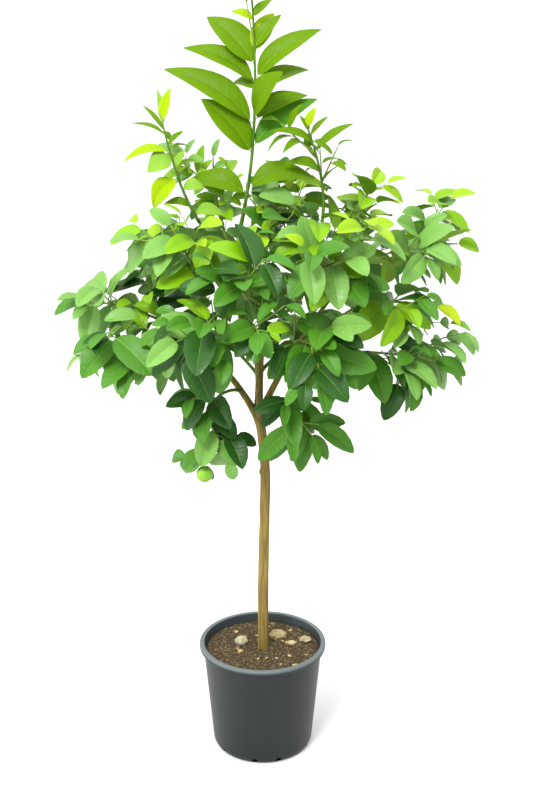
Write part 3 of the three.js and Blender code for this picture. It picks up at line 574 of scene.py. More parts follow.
for name, (seed, roughness, tones) in STONES.items():
    low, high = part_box(name)
    stone = bmesh.new()
    bmesh.ops.create_icosphere(stone, subdivisions=5, radius=0.5)
    for corner in stone.verts:
        at = corner.co * STONE_NOISE + Vector((seed, 0, 0))
        cracked = sum(most * abs(noise.noise(at * fine)) for fine, most in STONE_CRACKS)
        corner.co *= 1 - roughness * cracked
    span = [max(c.co[i] for c in stone.verts) - min(c.co[i] for c in stone.verts) for i in range(3)]
    size = Vector((high.x - low.x, high.y - low.y, (high.z - low.z) * STONE_HEIGHT_SHARE))
    bmesh.ops.scale(stone, verts=stone.verts[:], vec=[size[i] / span[i] for i in range(3)])
    top = max(corner.co.z for corner in stone.verts)
    middle = Vector(((low.x + high.x) / 2, (low.y + high.y) / 2, high.z - top))
    bmesh.ops.translate(stone, verts=stone.verts[:], vec=middle)
    pale_stone = two_tone(name, tones, 120, (0.75, 0.95), 1.2)
    shown_piece(name.replace("stone", "pebble"), stone, [pale_stone], [name])

# %% [markdown]
# ## Sizes
# The growing rule works in millimetres, as the model's source does, and meshes are made in metres.
# The rule needs the wood's sizes, how twigs and leaves stand on it, and the space of each mass.

# %% The trunk's route, and each bough: parent, share of its route, mouth, radii and lift
FORK_HEIGHT = 672
TRUNK_ROOT_DEPTH = 20
TRUNK_ROUTE = [
    (2, 0, SOIL_TOP - TRUNK_ROOT_DEPTH), (1, 0, 280), (2, 0, 380), (4, 0, 480), (5, 0, 560), (0, 0, 625),
    (-7, 0, FORK_HEIGHT),
]
BOUGHS = {
    "centre": ("trunk", 1, (4, 8, 940), (7.2, 2.8), 0.8),
    "left": ("trunk", 0.942, (-165, -20, 845), (6.8, 2.6), 0.5),
    "right": ("trunk", 0.98, (145, -20, 925), (6.6, 2.6), 0.3),
    "back": ("trunk", 0.965, (5, 100, 855), (5.6, 2.4), 0.5),
    "front": ("trunk", 0.955, (-15, -95, 845), (4.8, 2.4), 0.5),
    "leader": ("left", 0.5, (-30, -20, 1050), (4.6, 3.4), 0.3),
    "left_shoot": ("leader", 0.42, (-106, -45, 1030), (2.8, 2.6), 0.5),
    "left_upper": ("left", 0.62, (-105, -60, 915), (3.4, 2.6), 0.4),
    "left_lower": ("left", 0.6, (-165, -75, 820), (3.2, 2.6), 0.1),
    "low_left": ("left", 0.25, (-70, -60, 730), (3, 2.6), 0.3),
    "front_left": ("left", 0.4, (-75, -105, 845), (3.4, 2.6), 0.2),
    "top_left": ("centre", 0.5, (-55, 35, 970), (3.4, 2.6), 0.4),
    "back_left": ("back", 0.45, (-85, 90, 895), (3.6, 2.6), 0.4),
    "back_low_left": ("back", 0.3, (-60, 90, 775), (3.2, 2.6), 0.1),
    "back_low_right": ("back", 0.36, (50, 90, 775), (3.2, 2.6), 0.1),
    "back_right": ("back", 0.6, (85, 90, 880), (3.6, 2.6), 0.2),
    "back_high": ("centre", 0.7, (30, 75, 960), (3, 2.6), 0.3),
    "front_high": ("centre", 0.5, (-25, -75, 905), (3.4, 2.6), 0.3),
    "front_top": ("centre", 0.62, (60, -70, 935), (3.2, 2.6), 0.1),
    "front_right": ("right", 0.25, (50, -105, 835), (3.4, 2.6), 0.4),
    "low_right": ("trunk", 0.945, (30, -40, 690), (3, 2.6), 0.1),
    "right_lower": ("right", 0.4, (150, -40, 800), (3.4, 2.6), 0.1),
    "right_middle": ("right", 0.5, (145, -40, 870), (3.4, 2.6), 0),
    "right_high": ("right", 0.78, (120, 15, 960), (3, 2.6), 0.3),
    "right_shoot": ("right", 0.66, (103, -18, 1030), (3, 2.6), 0.2),
}

# %% Each mass of leaves: its stem's tip, its side twigs and its seed
# Some also have a reach, or a length and a width of their leaves, of their own, and one has a fruit
MASSES = {
    "leader": dict(tip=(-20, 0, 1435), twigs=0, seed=1, reach=185),
    "left_shoot": dict(tip=(-163, -60, 1198), twigs=1, seed=5, leaf=44, wide=0.38),
    "right_shoot": dict(tip=(74, -40, 1190), twigs=3, seed=10, leaf=50, wide=0.34),
    "left_upper": dict(tip=(-150, -100, 1035), twigs=5, seed=7),
    "left": dict(tip=(-300, -40, 893), twigs=4, seed=23),
    "left_lower": dict(tip=(-275, -110, 842), twigs=4, seed=21),
    "low_left": dict(tip=(-101, -100, 605), twigs=4, seed=6, leaf=66, wide=0.6, fruit=True),
    "front_left": dict(tip=(-135, -210, 870), twigs=5, seed=3),
    "front": dict(tip=(-5, -235, 890), twigs=4, seed=10, leaf=72),
    "front_high": dict(tip=(-30, -200, 965), twigs=4, seed=2),
    "front_right": dict(tip=(95, -225, 860), twigs=5, seed=2),
    "low_right": dict(tip=(85, -110, 672), twigs=4, seed=2, leaf=88, wide=0.42),
    "right_lower": dict(tip=(295, -90, 800), twigs=4, seed=4),
    "right_middle": dict(tip=(295, -70, 890), twigs=5, seed=1),
    "right": dict(tip=(334, -22, 988), twigs=4, seed=11),
    "right_high": dict(tip=(195, -10, 1055), twigs=4, seed=18),
    "centre": dict(tip=(30, 0, 1085), twigs=4, seed=12),
    "top_left": dict(tip=(-85, 50, 1125), twigs=3, seed=7, leaf=52, wide=0.42),
    "front_top": dict(tip=(140, -190, 1000), twigs=4, seed=22),
    "back_left": dict(tip=(-170, 205, 940), twigs=3, seed=2),
    "back": dict(tip=(5, 275, 860), twigs=3, seed=7),
    "back_right": dict(tip=(185, 200, 930), twigs=3, seed=22),
    "back_low_left": dict(tip=(-175, 195, 750), twigs=2, seed=5),
    "back_low_right": dict(tip=(125, 205, 750), twigs=2, seed=20),
    "back_high": dict(tip=(70, 170, 1045), twigs=2, seed=7),
}
# The shoots' leaves: height above the mouth, turn from the right, length, steepness and width
SHOOT_LEAVES = {
    "leader": [
        (26, 184, 106, 19, 0.4), (40, 354, 112, 18, 0.38), (118, 5, 134, 45, 0.32),
        (107, 195, 119, 56, 0.46), (165, 5, 98, 34, 0.34), (158, 176, 170, 41, 0.29),
        (216, 155, 54, 18, 0.5), (170, 285, 104, 50, 0.52), (225, 186, 128, 36, 0.3),
        (208, 12, 102, 32, 0.34), (232, 345, 130, 46, 0.32), (253, 175, 110, 53, 0.48),
        (272, 60, 80, 62, 0.44), (277, 350, 68, 60, 0.36), (317, 190, 38, 32, 0.42),
        (322, 10, 42, 50, 0.42), (345, 110, 38, 55, 0.34), (358, 250, 34, 60, 0.36),
        (372, 20, 30, 65, 0.36), (385, 180, 26, 80, 0.36),
    ],
    "left_shoot": [
        (20, 350, 48, 8, 0.5), (34, 186, 44, 18, 0.36), (70, 345, 36, 14, 0.66),
        (88, 198, 64, -42, 0.54), (104, 20, 36, 66, 0.36), (116, 205, 44, -12, 0.9),
        (128, 190, 78, -2, 0.22), (138, 10, 34, 50, 0.3), (150, 188, 58, 30, 0.13),
        (167, 320, 56, 80, 0.34), (156, 160, 58, 54, 0.15), (163, 180, 60, 82, 0.18),
    ],
    "right_shoot": [
        (90, 195, 60, 22, 0.34), (106, 160, 46, 54, 0.2), (121, 352, 76, 46, 0.22),
        (132, 186, 74, 28, 0.22), (145, 354, 42, 56, 0.24), (151, 190, 30, 66, 0.34),
        (157, 330, 34, 74, 0.46),
    ],
}
SHOOT_LEAF_TURNS = (0, 8, -8, 16, -16, 24, -24, 40, -40)
# What a leaf tries in turn until it fits: a turn about its twig, more sag, and its size
LEAF_TRIES = [
    (0, 0, 1), (30, 0, 1), (-30, 0, 1), (0, 0.4, 1), (60, 0.2, 0.9), (-60, 0.2, 0.9),
    (100, 0, 0.85), (-100, 0, 0.85), (140, 0.3, 0.75), (-140, 0.3, 0.75),
]
print("masses:", len(MASSES))

# %% [markdown]
# ## Sums for growing
# Growing takes a few directions and turns: what is square to a twig, and what is turned about it.
# They are written once here, for places and directions as rows of three numbers.

# %% Small sums on vectors
UP = np.array([0.0, 0.0, 1.0])
BACK = np.array([0.0, 1.0, 0.0])


def unit(v):
    return v / (np.linalg.norm(v, axis=-1, keepdims=True) + 1e-12)


def sideways(axis, angle):
    """A direction square to an axis, turned about it by an angle in degrees."""
    across = unit(np.cross(axis, UP if abs(axis[2]) < 0.9 else BACK))
    over = np.cross(across, axis)
    return across * math.cos(math.radians(angle)) + over * math.sin(math.radians(angle))


def leaning(axis, turn, angle):
    """A direction that leaves an axis by an angle, turned about it, both in degrees."""
    angle = math.radians(angle)
    return sideways(axis, turn) * math.sin(angle) + axis * math.cos(angle)


def rolled(v, axis, angle):
    """A vector turned about an axis by an angle in radians."""
    c, s = math.cos(angle), math.sin(angle)
    return v * c + np.cross(axis, v) * s + axis * (axis @ v) * (1 - c)


# %% [markdown]
# ## Routes of the wood
# Every limb follows a smooth curve. The trunk passes through a few measured places, a bough bends
# once like a bow, and a twig is straight. A curve here is a function from a share to a place.

# %% Curves, and the trunk and boughs as curves with radii
TRUNK_RADII = (10.2, 8.4)
TRUNK_FLARE = 0.22
TRUNK_FLARE_HEIGHT = 14
BOUGH_ELBOWS = (0.45, 0.3)
BOUGH_LIFT = 0.45
HEADING_STEP = 1e-4


def through(stops):
    """A smooth curve through places, at even shares."""
    stops = np.array(stops, float)
    padded = np.vstack([2 * stops[0] - stops[1], stops, 2 * stops[-1] - stops[-2]])

    def place(share):
        run = np.asarray(share, float) * (len(stops) - 1)
        i = np.minimum(np.floor(run).astype(int), len(stops) - 2)
        t = (run - i)[..., None]
        before, low, high, after = (padded[i + k] for k in range(4))
        leaving, arriving = (high - before) / 2, (after - low) / 2
        bend = -3 * low + 3 * high - 2 * leaving - arriving
        return low + leaving * t + bend * t**2 + (2 * low - 2 * high + leaving + arriving) * t**3

    return place


def bowed(start, elbow, end):
    """A curve that bends once, towards its elbow."""

    def place(share):
        t = np.asarray(share, float)[..., None]
        return (1 - t) ** 2 * start + 2 * (1 - t) * t * elbow + t**2 * end

    return place


def straight(start, end):
    return lambda share: start + np.asarray(share, float)[..., None] * (end - start)


def heading(curve, share):
    """The direction in which a curve runs at a share of its length."""
    return unit(curve(min(share + HEADING_STEP, 1)) - curve(max(share - HEADING_STEP, 0)))


def span(curve):
    """How far apart a curve's ends are."""
    return float(np.linalg.norm(curve(1) - curve(0)))


def trunk_radius(share):
    above = share * (FORK_HEIGHT - SOIL_TOP)
    return between(TRUNK_RADII, share) * (1 + TRUNK_FLARE * np.exp(-above / TRUNK_FLARE_HEIGHT))


limbs = {"trunk": (through(TRUNK_ROUTE), trunk_radius)}
for name, (parent, share, mouth, radii, lift) in BOUGHS.items():
    start, end = limbs[parent][0](share), np.array(mouth, float)
    elbow = start + (end - start) * between(BOUGH_ELBOWS, lift)
    elbow = elbow + UP * lift * BOUGH_LIFT * np.linalg.norm(end - start)
    limbs[name] = (bowed(start, elbow, end), lambda along, radii=radii: between(radii, along))
print("limbs:", len(limbs))

# %% [markdown]
# ## Room to grow
# Leaves on a real tree share the light: each spray fills its own space and no leaf passes through
# another. So each mass keeps to a space round its stem, every leaf is tested against the wood and
# the leaves already there, and one that doesn't fit turns, hangs lower, shrinks or isn't grown.

# %% The space of each mass
CROWN_MIDDLE_HEIGHT = 900
TWIG_RISE_SPAN = 900
LEAF_DROOP = 0.3
LEAF_DROOP_SPAN = 800
LEAF_DROOP_MOST = 0.5
YOUNG_FROM_HEIGHT = 950
YOUNG_TOP_HEIGHT = 1235
LEAF_LENGTH = 86
YOUNG_LEAF_LENGTH = 58
SPACE_STEM_SHARE = 0.42
SPACE_LEAF_SHARE = 0.7
SPACE_SHARED = 1.35
SPACE_BEYOND = 3
mass_names = list(MASSES)


def height_above(mass, level):
    return mass["tip"][2] - level


def twig_rise(mass):
    """How far a mass's twigs turn upwards, or downwards below the middle of the crown."""
    return height_above(mass, CROWN_MIDDLE_HEIGHT) / TWIG_RISE_SPAN


def leaf_droop(mass):
    """How far a mass's leaves hang: more in the low crown, not at all at its top."""
    less = height_above(mass, CROWN_MIDDLE_HEIGHT) / LEAF_DROOP_SPAN
    return min(max(LEAF_DROOP - less, 0), LEAF_DROOP_MOST)


def leaf_length(mass):
    """How long a mass's full-grown leaves are: shorter at the young top of the crown."""
    young = height_above(mass, YOUNG_FROM_HEIGHT) / (YOUNG_TOP_HEIGHT - YOUNG_FROM_HEIGHT)
    return mass.get("leaf", between((LEAF_LENGTH, YOUNG_LEAF_LENGTH), clamped(young)))


stem_starts = np.array([BOUGHS[name][2] for name in mass_names], float)
stem_spans = np.array([mass["tip"] for mass in MASSES.values()], float) - stem_starts
stem_squares = (stem_spans**2).sum(-1)
box_low, box_high = np.array(cad_low) / MM - SPACE_BEYOND, np.array(cad_high) / MM + SPACE_BEYOND
sharers = np.array([mass["twigs"] > 0 for mass in MASSES.values()])
reaches = np.array([
    mass.get("reach", math.sqrt(square) * SPACE_STEM_SHARE + leaf_length(mass) * SPACE_LEAF_SHARE)
    for mass, square in zip(MASSES.values(), stem_squares)
])


def in_space(name, places):
    """True where places lie in a mass's own space: round its stem, and nearest to that stem."""
    if (places < box_low).any() or (places > box_high).any():
        return False
    own = mass_names.index(name)
    away = places[:, None, :] - stem_starts
    share = np.clip((away * stem_spans).sum(-1) / stem_squares, 0, 1)
    near = np.linalg.norm(away - share[..., None] * stem_spans, axis=-1) / reaches
    inside = near[:, own] < 1
    if sharers[own]:
        inside &= (near[:, [own]] <= near[:, sharers] * SPACE_SHARED).all(-1)
    return bool(inside.all())


# %% The wood that twigs and leaves stay clear of
WOOD_GAP = 1
WOOD_SAMPLE = 4
wood = {"owner": np.array([], object), "place": np.zeros((0, 3)), "radius": np.zeros(0)}


def samples(curve, radius_at):
    """Places and radii a few millimetres apart along a curve."""
    count = math.ceil(span(curve) / WOOD_SAMPLE) + 2
    shares = np.arange(count + 1) / count
    return curve(shares), radius_at(shares) + np.zeros(count + 1)


def add_wood(owner, places, radii):
    wood["owner"] = np.append(wood["owner"], [owner] * len(radii))
    wood["place"] = np.vstack([wood["place"], places])
    wood["radius"] = np.append(wood["radius"], radii)


def clear_of_wood(places, radii, parent):
    """True where a twig touches no wood but the parent that it grows out of."""
    others = wood["owner"] != parent
    away = np.linalg.norm(wood["place"][others][None] - places[:, None], axis=-1)
    return bool((away > wood["radius"][others] + radii[:, None] + WOOD_GAP).all())


for name, (curve, radius_at) in limbs.items():
    add_wood(name, *samples(curve, radius_at))

# %% A leaf as a folded, arching blade, and the store of the leaves grown so far
CLEARANCE = 0.3
LEAF_WIDTH_SHARE = 0.54
LEAF_THICKNESS_SHARE = 0.014
LEAF_SHOULDER_SHARE = 0.3
LEAF_MIDDLE_SHARE = 0.42
LEAF_ROOM = 6000
LEAF_EDGES = 9
WAYS = ("root", "along", "up", "side")
SIZES = ("length", "half", "fold", "arch", "mass")
leaf_store = {field: np.zeros((LEAF_ROOM, 3)) for field in WAYS}
leaf_store |= {field: np.zeros(LEAF_ROOM) for field in SIZES}
leaf_store["edges"] = np.zeros((LEAF_ROOM, LEAF_EDGES, 2, 3))
leaf_count = 0
leaf_notes = []


def make_leaf(root, along, facing, length, fold, arch, width):
    up = unit(facing - along * (facing @ along))
    side = np.cross(up, along)
    half = length * width / 2
    return dict(root=root, along=along, up=up, side=side, length=length, half=half, fold=fold, arch=arch)


def leaf_point(leaf, share, offset):
    """The place on a leaf at a share of its length and an offset from its midrib."""
    lift = leaf["fold"] * abs(offset) - leaf["arch"] * share**2 * leaf["length"]
    flat = leaf["along"] * share * leaf["length"] + leaf["side"] * offset
    return leaf["root"] + flat + leaf["up"] * lift


def on_leaf(leaf, places):
    """Where places lie over a leaf: share of its length, offset, and height above its surface."""
    away = places - leaf["root"]
    share = (away * leaf["along"]).sum(-1) / leaf["length"]
    offset = (away * leaf["side"]).sum(-1)
    surface = leaf["fold"] * np.abs(offset) - leaf["arch"] * share**2 * leaf["length"]
    return share, offset, (away * leaf["up"]).sum(-1) - surface


# %% A leaf's outline, as six corners, the rim between them and spokes to its middle
def half_width(leaf, share):
    return leaf["half"] * np.clip(np.minimum(share, 1 - share) / LEAF_SHOULDER_SHARE, 0, 1)


def leaf_edges(leaf):
    low, high, half = LEAF_SHOULDER_SHARE, 1 - LEAF_SHOULDER_SHARE, leaf["half"]
    outline = [(0, 0), (low, half), (high, half), (1, 0), (high, -half), (low, -half)]
    corners = np.array([leaf_point(leaf, share, offset) for share, offset in outline])
    middle = leaf_point(leaf, LEAF_MIDDLE_SHARE, 0)
    rim = np.stack([corners, np.roll(corners, -1, axis=0)], axis=1)
    spokes = np.stack([corners[1:], np.broadcast_to(middle, (5, 3))], axis=1)
    return corners, rim, spokes


# %% What passes through a leaf
def pierced(leaf, edges, room):
    """For each leaf, true where one of its edges' row passes through it or within the room."""
    share_a, offset_a, height_a = on_leaf(leaf, edges[..., 0, :])
    share_b, offset_b, height_b = on_leaf(leaf, edges[..., 1, :])
    within = (np.minimum(height_a, height_b) <= room) & (np.maximum(height_a, height_b) >= -room)
    climb = height_b - height_a
    climb = np.where(climb == 0, 1e-12, climb)
    enters, leaves = (np.clip((h - height_a) / climb, 0, 1) for h in (-room, room))
    over = np.zeros(within.shape, bool)
    for t in (enters, (enters + leaves) / 2, leaves):
        width = half_width(leaf, share_a + (share_b - share_a) * t)
        over |= np.abs(offset_a + (offset_b - offset_a) * t) < width + WOOD_GAP
    return (within & over).any(-1)


def stored(picked):
    """The leaves picked from the store, shaped to meet a row of places or edges each."""
    return {field: leaf_store[field][picked][:, None] for field in WAYS + SIZES}


def touches_wood(leaf, owner):
    """True where a leaf comes too near to any wood but the twig that owns it."""
    middle = leaf_point(leaf, 0.5, 0)
    near = np.linalg.norm(wood["place"] - middle, axis=-1) <= leaf["length"] + wood["radius"]
    near &= wood["owner"] != owner
    share, offset, height = on_leaf(leaf, wood["place"][near])
    reach = wood["radius"][near] + WOOD_GAP
    beside = (share >= 0) & (share <= 1) & (np.abs(height) <= reach + leaf["length"] * LEAF_THICKNESS_SHARE)
    return bool((beside & (np.abs(offset) < half_width(leaf, share) + reach)).any())


# %% Placing a leaf
def place_leaf(name, leaf, owner, note):
    """Keeps the leaf, and returns true, where it stays in its space and clear of wood and leaves."""
    global leaf_count
    corners, rim, spokes = leaf_edges(leaf)
    if not in_space(name, corners[1:]) or touches_wood(leaf, owner):
        return False
    mass = mass_names.index(name)
    away = np.linalg.norm(leaf_store["root"][:leaf_count] - leaf["root"], axis=-1)
    near = np.flatnonzero(away < leaf_store["length"][:leaf_count] + leaf["length"])
    if len(near):
        gap = LEAF_THICKNESS_SHARE * np.maximum(leaf_store["length"][near], leaf["length"]) + CLEARANCE
        room = np.where(leaf_store["mass"][near] == mass, 0, gap)[:, None]
        if pierced(stored(near), np.concatenate([rim, spokes])[None], room).any():
            return False
        if pierced(leaf, leaf_store["edges"][near], room).any():
            return False
    for field, value in leaf.items():
        leaf_store[field][leaf_count] = value
    leaf_store["mass"][leaf_count] = mass
    leaf_store["edges"][leaf_count] = np.concatenate([rim[1:-1], spokes])
    leaf_notes.append(dict(note, mass=name, twig=owner))
    leaf_count += 1
    return True


# %% [markdown]
# ## Growing the crown
# The stem of each mass runs on from its bough, side twigs leave it in the spiral that most plants
# follow, and each twig bears leaves in the same spiral, smaller towards its tip.

# %% The stem and side twigs of a mass
STEM_RADIUS = 3
STEM_ELBOW = 0.4
TWIG_RADIUS = 1.8
TWIG_SHARES = (0.06, 0.84)
TWIG_LENGTHS = (0.66, 0.4)
TWIG_LENGTH_RANGE = (0.85, 1.15)
TWIG_SPREAD_RANGE = (44, 60)
TWIG_CUTS = (1, 0.75, 0.55)
TWIG_BURIED_SAMPLES = 3
SPIRAL = 137.5
LEAVES_FROM_ON_STEM = 0.25
LEAVES_FROM_ON_TWIG = 0.2


def grow_twigs(name, mass):
    """The stem that runs on from a bough, and its side twigs, each as long as there is room."""
    random = seeded_random(mass["seed"])
    aim = heading(limbs[name][0], 1)
    start = np.array(BOUGHS[name][2], float) + aim * CLEARANCE
    tip = np.array(mass["tip"], float)
    reach = np.linalg.norm(tip - start)
    stem = bowed(start, start + aim * reach * STEM_ELBOW, tip)
    twigs = [dict(owner=name + "_stem", curve=stem, thick=STEM_RADIUS, leaves_from=LEAVES_FROM_ON_STEM)]
    phase = random() * 360
    for k in range(mass["twigs"]):
        share = between(TWIG_SHARES, (k + 0.5) / mass["twigs"])
        root, forward = stem(share), heading(stem, share)
        out = leaning(forward, phase + k * SPIRAL, between(TWIG_SPREAD_RANGE, random()))
        out = unit(out + UP * twig_rise(mass))
        most = between(TWIG_LENGTHS, share) * between(TWIG_LENGTH_RANGE, random())
        for cut in TWIG_CUTS:
            curve = straight(root, root + out * reach * most * cut)
            places, radii = samples(curve, lambda share: TWIG_RADIUS)
            places, radii = places[TWIG_BURIED_SAMPLES:], radii[TWIG_BURIED_SAMPLES:]
            if in_space(name, places) and clear_of_wood(places, radii, name):
                new = dict(owner=f"{name}_twig_{k}", curve=curve, thick=TWIG_RADIUS)
                twigs.append(new | dict(leaves_from=LEAVES_FROM_ON_TWIG))
                break
    return dict(name=name, mass=mass, random=random, twigs=twigs)


# %% The leaves of a twig
LEAVES_END = 0.995
LEAF_ROOT_SUNK = 0.2
LEAF_FOLD_RANGE = (0.18, 0.5)
LEAF_ARCH_RANGE = (0.1, 0.34)
LEAF_SPREAD_RANGE = (49, 63)
LEAF_END_ANGLE = 14
LEAF_ROLL_RANGE = (-25, 25)
LEAF_SIZE_RANGE = (0.86, 1.14)
LOW_LEAF_SIZE = 1.05
TIP_LEAF_SIZE = 0.66
TIP_FROM_SHARE = 0.55
LEAF_LEVELLING = 0.6
FACING_UP = 0.8
FACING_ASIDE = 0.35
FACING_CENTRE = 60
FACING_OUT = (0.9, 0.3)
FACING_HEIGHTS = (750, 1150)
FACING_FORWARD = 0.25


def grow_leaves_on(twig, name, mass, random, spacing, full):
    """Leaves in a spiral along a twig, each drawn by chance and tried until one way fits."""
    curve, first = twig["curve"], twig["leaves_from"]
    count = max(2, math.floor(span(curve) * (1 - first) / spacing + 0.5))
    phase = random() * 360
    for k in range(count + 1):
        share = between((first, LEAVES_END), k / count)
        place, forward = curve(share), heading(curve, share)
        at_tip = clamped((k / count - TIP_FROM_SHARE) / (1 - TIP_FROM_SHARE))
        length = full * between((LOW_LEAF_SIZE, TIP_LEAF_SIZE), at_tip) * between(LEAF_SIZE_RANGE, random())
        fold = between(LEAF_FOLD_RANGE, random())
        arch = between(LEAF_ARCH_RANGE, random())
        angle = LEAF_END_ANGLE if k == count else between(LEAF_SPREAD_RANGE, random())
        roll = math.radians(between(LEAF_ROLL_RANGE, random()))
        outward = unit(np.array([place[0] * FACING_ASIDE, place[1] - FACING_CENTRE, 0]))
        rise = (place[2] - FACING_HEIGHTS[0]) / (FACING_HEIGHTS[1] - FACING_HEIGHTS[0])
        out_share = between(FACING_OUT, clamped(rise))
        for turn, sag, size in LEAF_TRIES:
            along = leaning(forward, phase + k * SPIRAL + turn, angle)
            along = unit(along * (1, 1, LEAF_LEVELLING) - UP * (leaf_droop(mass) + sag))
            facing = UP * FACING_UP + outward * out_share + forward * FACING_FORWARD
            leaf = make_leaf(
                place - along * LEAF_ROOT_SUNK, along, rolled(facing, along, roll), length * size,
                fold, arch, mass.get("wide", LEAF_WIDTH_SHARE),
            )
            if place_leaf(name, leaf, twig["owner"], dict(young=at_tip)):
                break


# %% The leaves of a shoot
SHOOT_LEAF_FOLD = 0.3
SHOOT_LEAF_ARCH = 0.3
SHOOT_FACING_FRONT = 1.2
SHOOT_FACING_BACK = 0.3


def grow_shoot_leaves(twig, name):
    """Leaves that stand where the shoot's table puts them, or turned a little to fit."""
    curve = twig["curve"]
    height = curve(1)[2] - curve(0)[2]
    for above, turn, length, steep, width in SHOOT_LEAVES[name]:
        place = curve(min(above / height, LEAVES_END))
        rise = math.radians(steep)
        for more in SHOOT_LEAF_TURNS:
            way = math.radians(turn + more)
            outward = np.array([math.cos(way), math.sin(way), 0])
            along = outward * math.cos(rise) + UP * math.sin(rise)
            facing = UP - SHOOT_FACING_FRONT * BACK - SHOOT_FACING_BACK * outward
            leaf = make_leaf(
                place - along * LEAF_ROOT_SUNK, along, facing, length,
                SHOOT_LEAF_FOLD, SHOOT_LEAF_ARCH, width,
            )
            if place_leaf(name, leaf, twig["owner"], dict(young=0, above=above)):
                break


# %% First all the twigs grow, then the leaves between them
LEAF_SPACING = 26
LEAF_SPACING_SIZE = 84
LEAF_SPACING_POWER = 0.75
FRUIT_RADIUS = 14
FRUIT_SUNK = 4

growths = []
for name, mass in MASSES.items():
    growth = grow_twigs(name, mass)
    growths.append(growth)
    for twig in growth["twigs"]:
        add_wood(twig["owner"], *samples(twig["curve"], lambda share: twig["thick"]))
    if mass.get("fruit"):
        stem = growth["twigs"][0]["curve"]
        fruit_aim = heading(stem, 1)
        fruit_centre = stem(1) + fruit_aim * (FRUIT_RADIUS - FRUIT_SUNK)
        add_wood("fruit", fruit_centre[None], np.array([FRUIT_RADIUS]))
for growth in growths:
    name, mass, random = growth["name"], growth["mass"], growth["random"]
    full = leaf_length(mass)
    spacing = LEAF_SPACING * (full / LEAF_SPACING_SIZE) ** LEAF_SPACING_POWER
    for twig in growth["twigs"]:
        if name in SHOOT_LEAVES and twig is growth["twigs"][0]:
            grow_shoot_leaves(twig, name)
        else:
            grow_leaves_on(twig, name, mass, random, spacing, full)
coarse_leaves = leaf_count
print("twigs:", sum(len(g["twigs"]) for g in growths), "leaves:", coarse_leaves)

# %% [markdown]
# ## Finer twigs
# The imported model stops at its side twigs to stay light. A real crown goes on: short fine twigs
# stand in the angles of the leaves and carry smaller leaves. They follow the same rule inside the
# same spaces, with numbers of their own, so that the crown above stays as it is.

# %% Fine twigs and their leaves
FINE_SPACING = 24
FINE_SHARES = (0.12, 0.96)
FINE_LENGTH_RANGE = (26, 52)
FINE_SPREAD_RANGE = (42, 66)
FINE_RADIUS = 1.0
FINE_RISE = 0.15
FINE_SEED = 1000
FINE_LEAF_RANGE = (0.62, 0.92)
FINE_LEAF_SPACING = 15
FINE_LEAVES_FROM = 0.3
FINE_BURIED = 4
FINE_BURIED_SAMPLES = 2


def misses_leaves(start, end, radius):
    """True where a straight fine twig passes through no leaf."""
    away = np.linalg.norm(leaf_store["root"][:leaf_count] - start, axis=-1)
    near = np.flatnonzero(away < leaf_store["length"][:leaf_count] + np.linalg.norm(end - start))
    return not pierced(stored(near), np.array([[[start, end]]]), radius).any()


def grow_fine_twigs(growth):
    """Fine twigs along each twig of a mass, where they miss the wood and the leaves."""
    name, mass = growth["name"], growth["mass"]
    random = seeded_random(FINE_SEED + mass["seed"])
    full = leaf_length(mass)
    for number, twig in enumerate(growth["twigs"][:]):
        curve = twig["curve"]
        count = math.floor(span(curve) / FINE_SPACING)
        phase = random() * 360
        for k in range(count):
            share = between(FINE_SHARES, (k + random()) / count)
            root, forward = curve(share), heading(curve, share)
            out = leaning(forward, phase + k * SPIRAL, between(FINE_SPREAD_RANGE, random()))
            out = unit(out + UP * (FINE_RISE + twig_rise(mass)))
            most = between(FINE_LENGTH_RANGE, random()) * full / LEAF_LENGTH
            for cut in TWIG_CUTS:
                end = root + out * most * cut
                fine = straight(root, end)
                places, radii = samples(fine, lambda share: FINE_RADIUS)
                places, radii = places[FINE_BURIED_SAMPLES:], radii[FINE_BURIED_SAMPLES:]
                free = in_space(name, places) and clear_of_wood(places, radii, twig["owner"])
                if free and misses_leaves(root + out * FINE_BURIED, end, FINE_RADIUS):
                    break
            else:
                continue
            owner = f"{name}_fine_{number}_{k}"
            new = dict(owner=owner, curve=fine, thick=FINE_RADIUS, leaves_from=FINE_LEAVES_FROM)
            growth["twigs"].append(new)
            add_wood(owner, places, radii)
            size = full * between(FINE_LEAF_RANGE, random())
            grow_leaves_on(new, name, mass, random, FINE_LEAF_SPACING, size)


for growth in growths:
    if growth["name"] not in SHOOT_LEAVES:
        grow_fine_twigs(growth)
print("twigs:", sum(len(g["twigs"]) for g in growths), "leaves:", leaf_count)
print("of them on fine twigs:", leaf_count - coarse_leaves)

# %% The leader's twin: a second slim tip beside the first, with a few small leaves
TWIN_FROM, TWIN_TO = 0.74, 0.95
TWIN_ASIDE = np.array([-10.0, -2.0, 0.0])
TWIN_BOW = 0.85
TWIN_RADIUS = 1.5
TWIN_LEAVES_FROM = 0.7
TWIN_LEAF = 30
TWIN_SPACING = 26

leader = growths[0]
main = leader["twigs"][0]["curve"]
twin_start, twin_end = main(TWIN_FROM), main(TWIN_TO) + TWIN_ASIDE
twin_elbow = (twin_start + main(TWIN_TO)) / 2 + TWIN_ASIDE * TWIN_BOW
twin_curve = bowed(twin_start, twin_elbow, twin_end)
twin = dict(owner="leader_twin", curve=twin_curve, thick=TWIN_RADIUS, leaves_from=TWIN_LEAVES_FROM)
leader["twigs"].append(twin)
grow_leaves_on(twin, "leader", leader["mass"], leader["random"], TWIN_SPACING, TWIN_LEAF)
print("leaves with the twin's:", leaf_count)

# %% [markdown]
# ## The bark
# The trunk is straw-brown and finely grained along its length. The boughs start out the same and
# turn green towards the crown, as young citrus wood does. Each limb is a tube drawn along its
# route, thicker where it leaves its parent, and its surface is pushed in and out by long noise.
# The trunk also has a few low nubs where shoots were cut off.


# %% A tube along a route
ROUTE_STEP = 1e-3


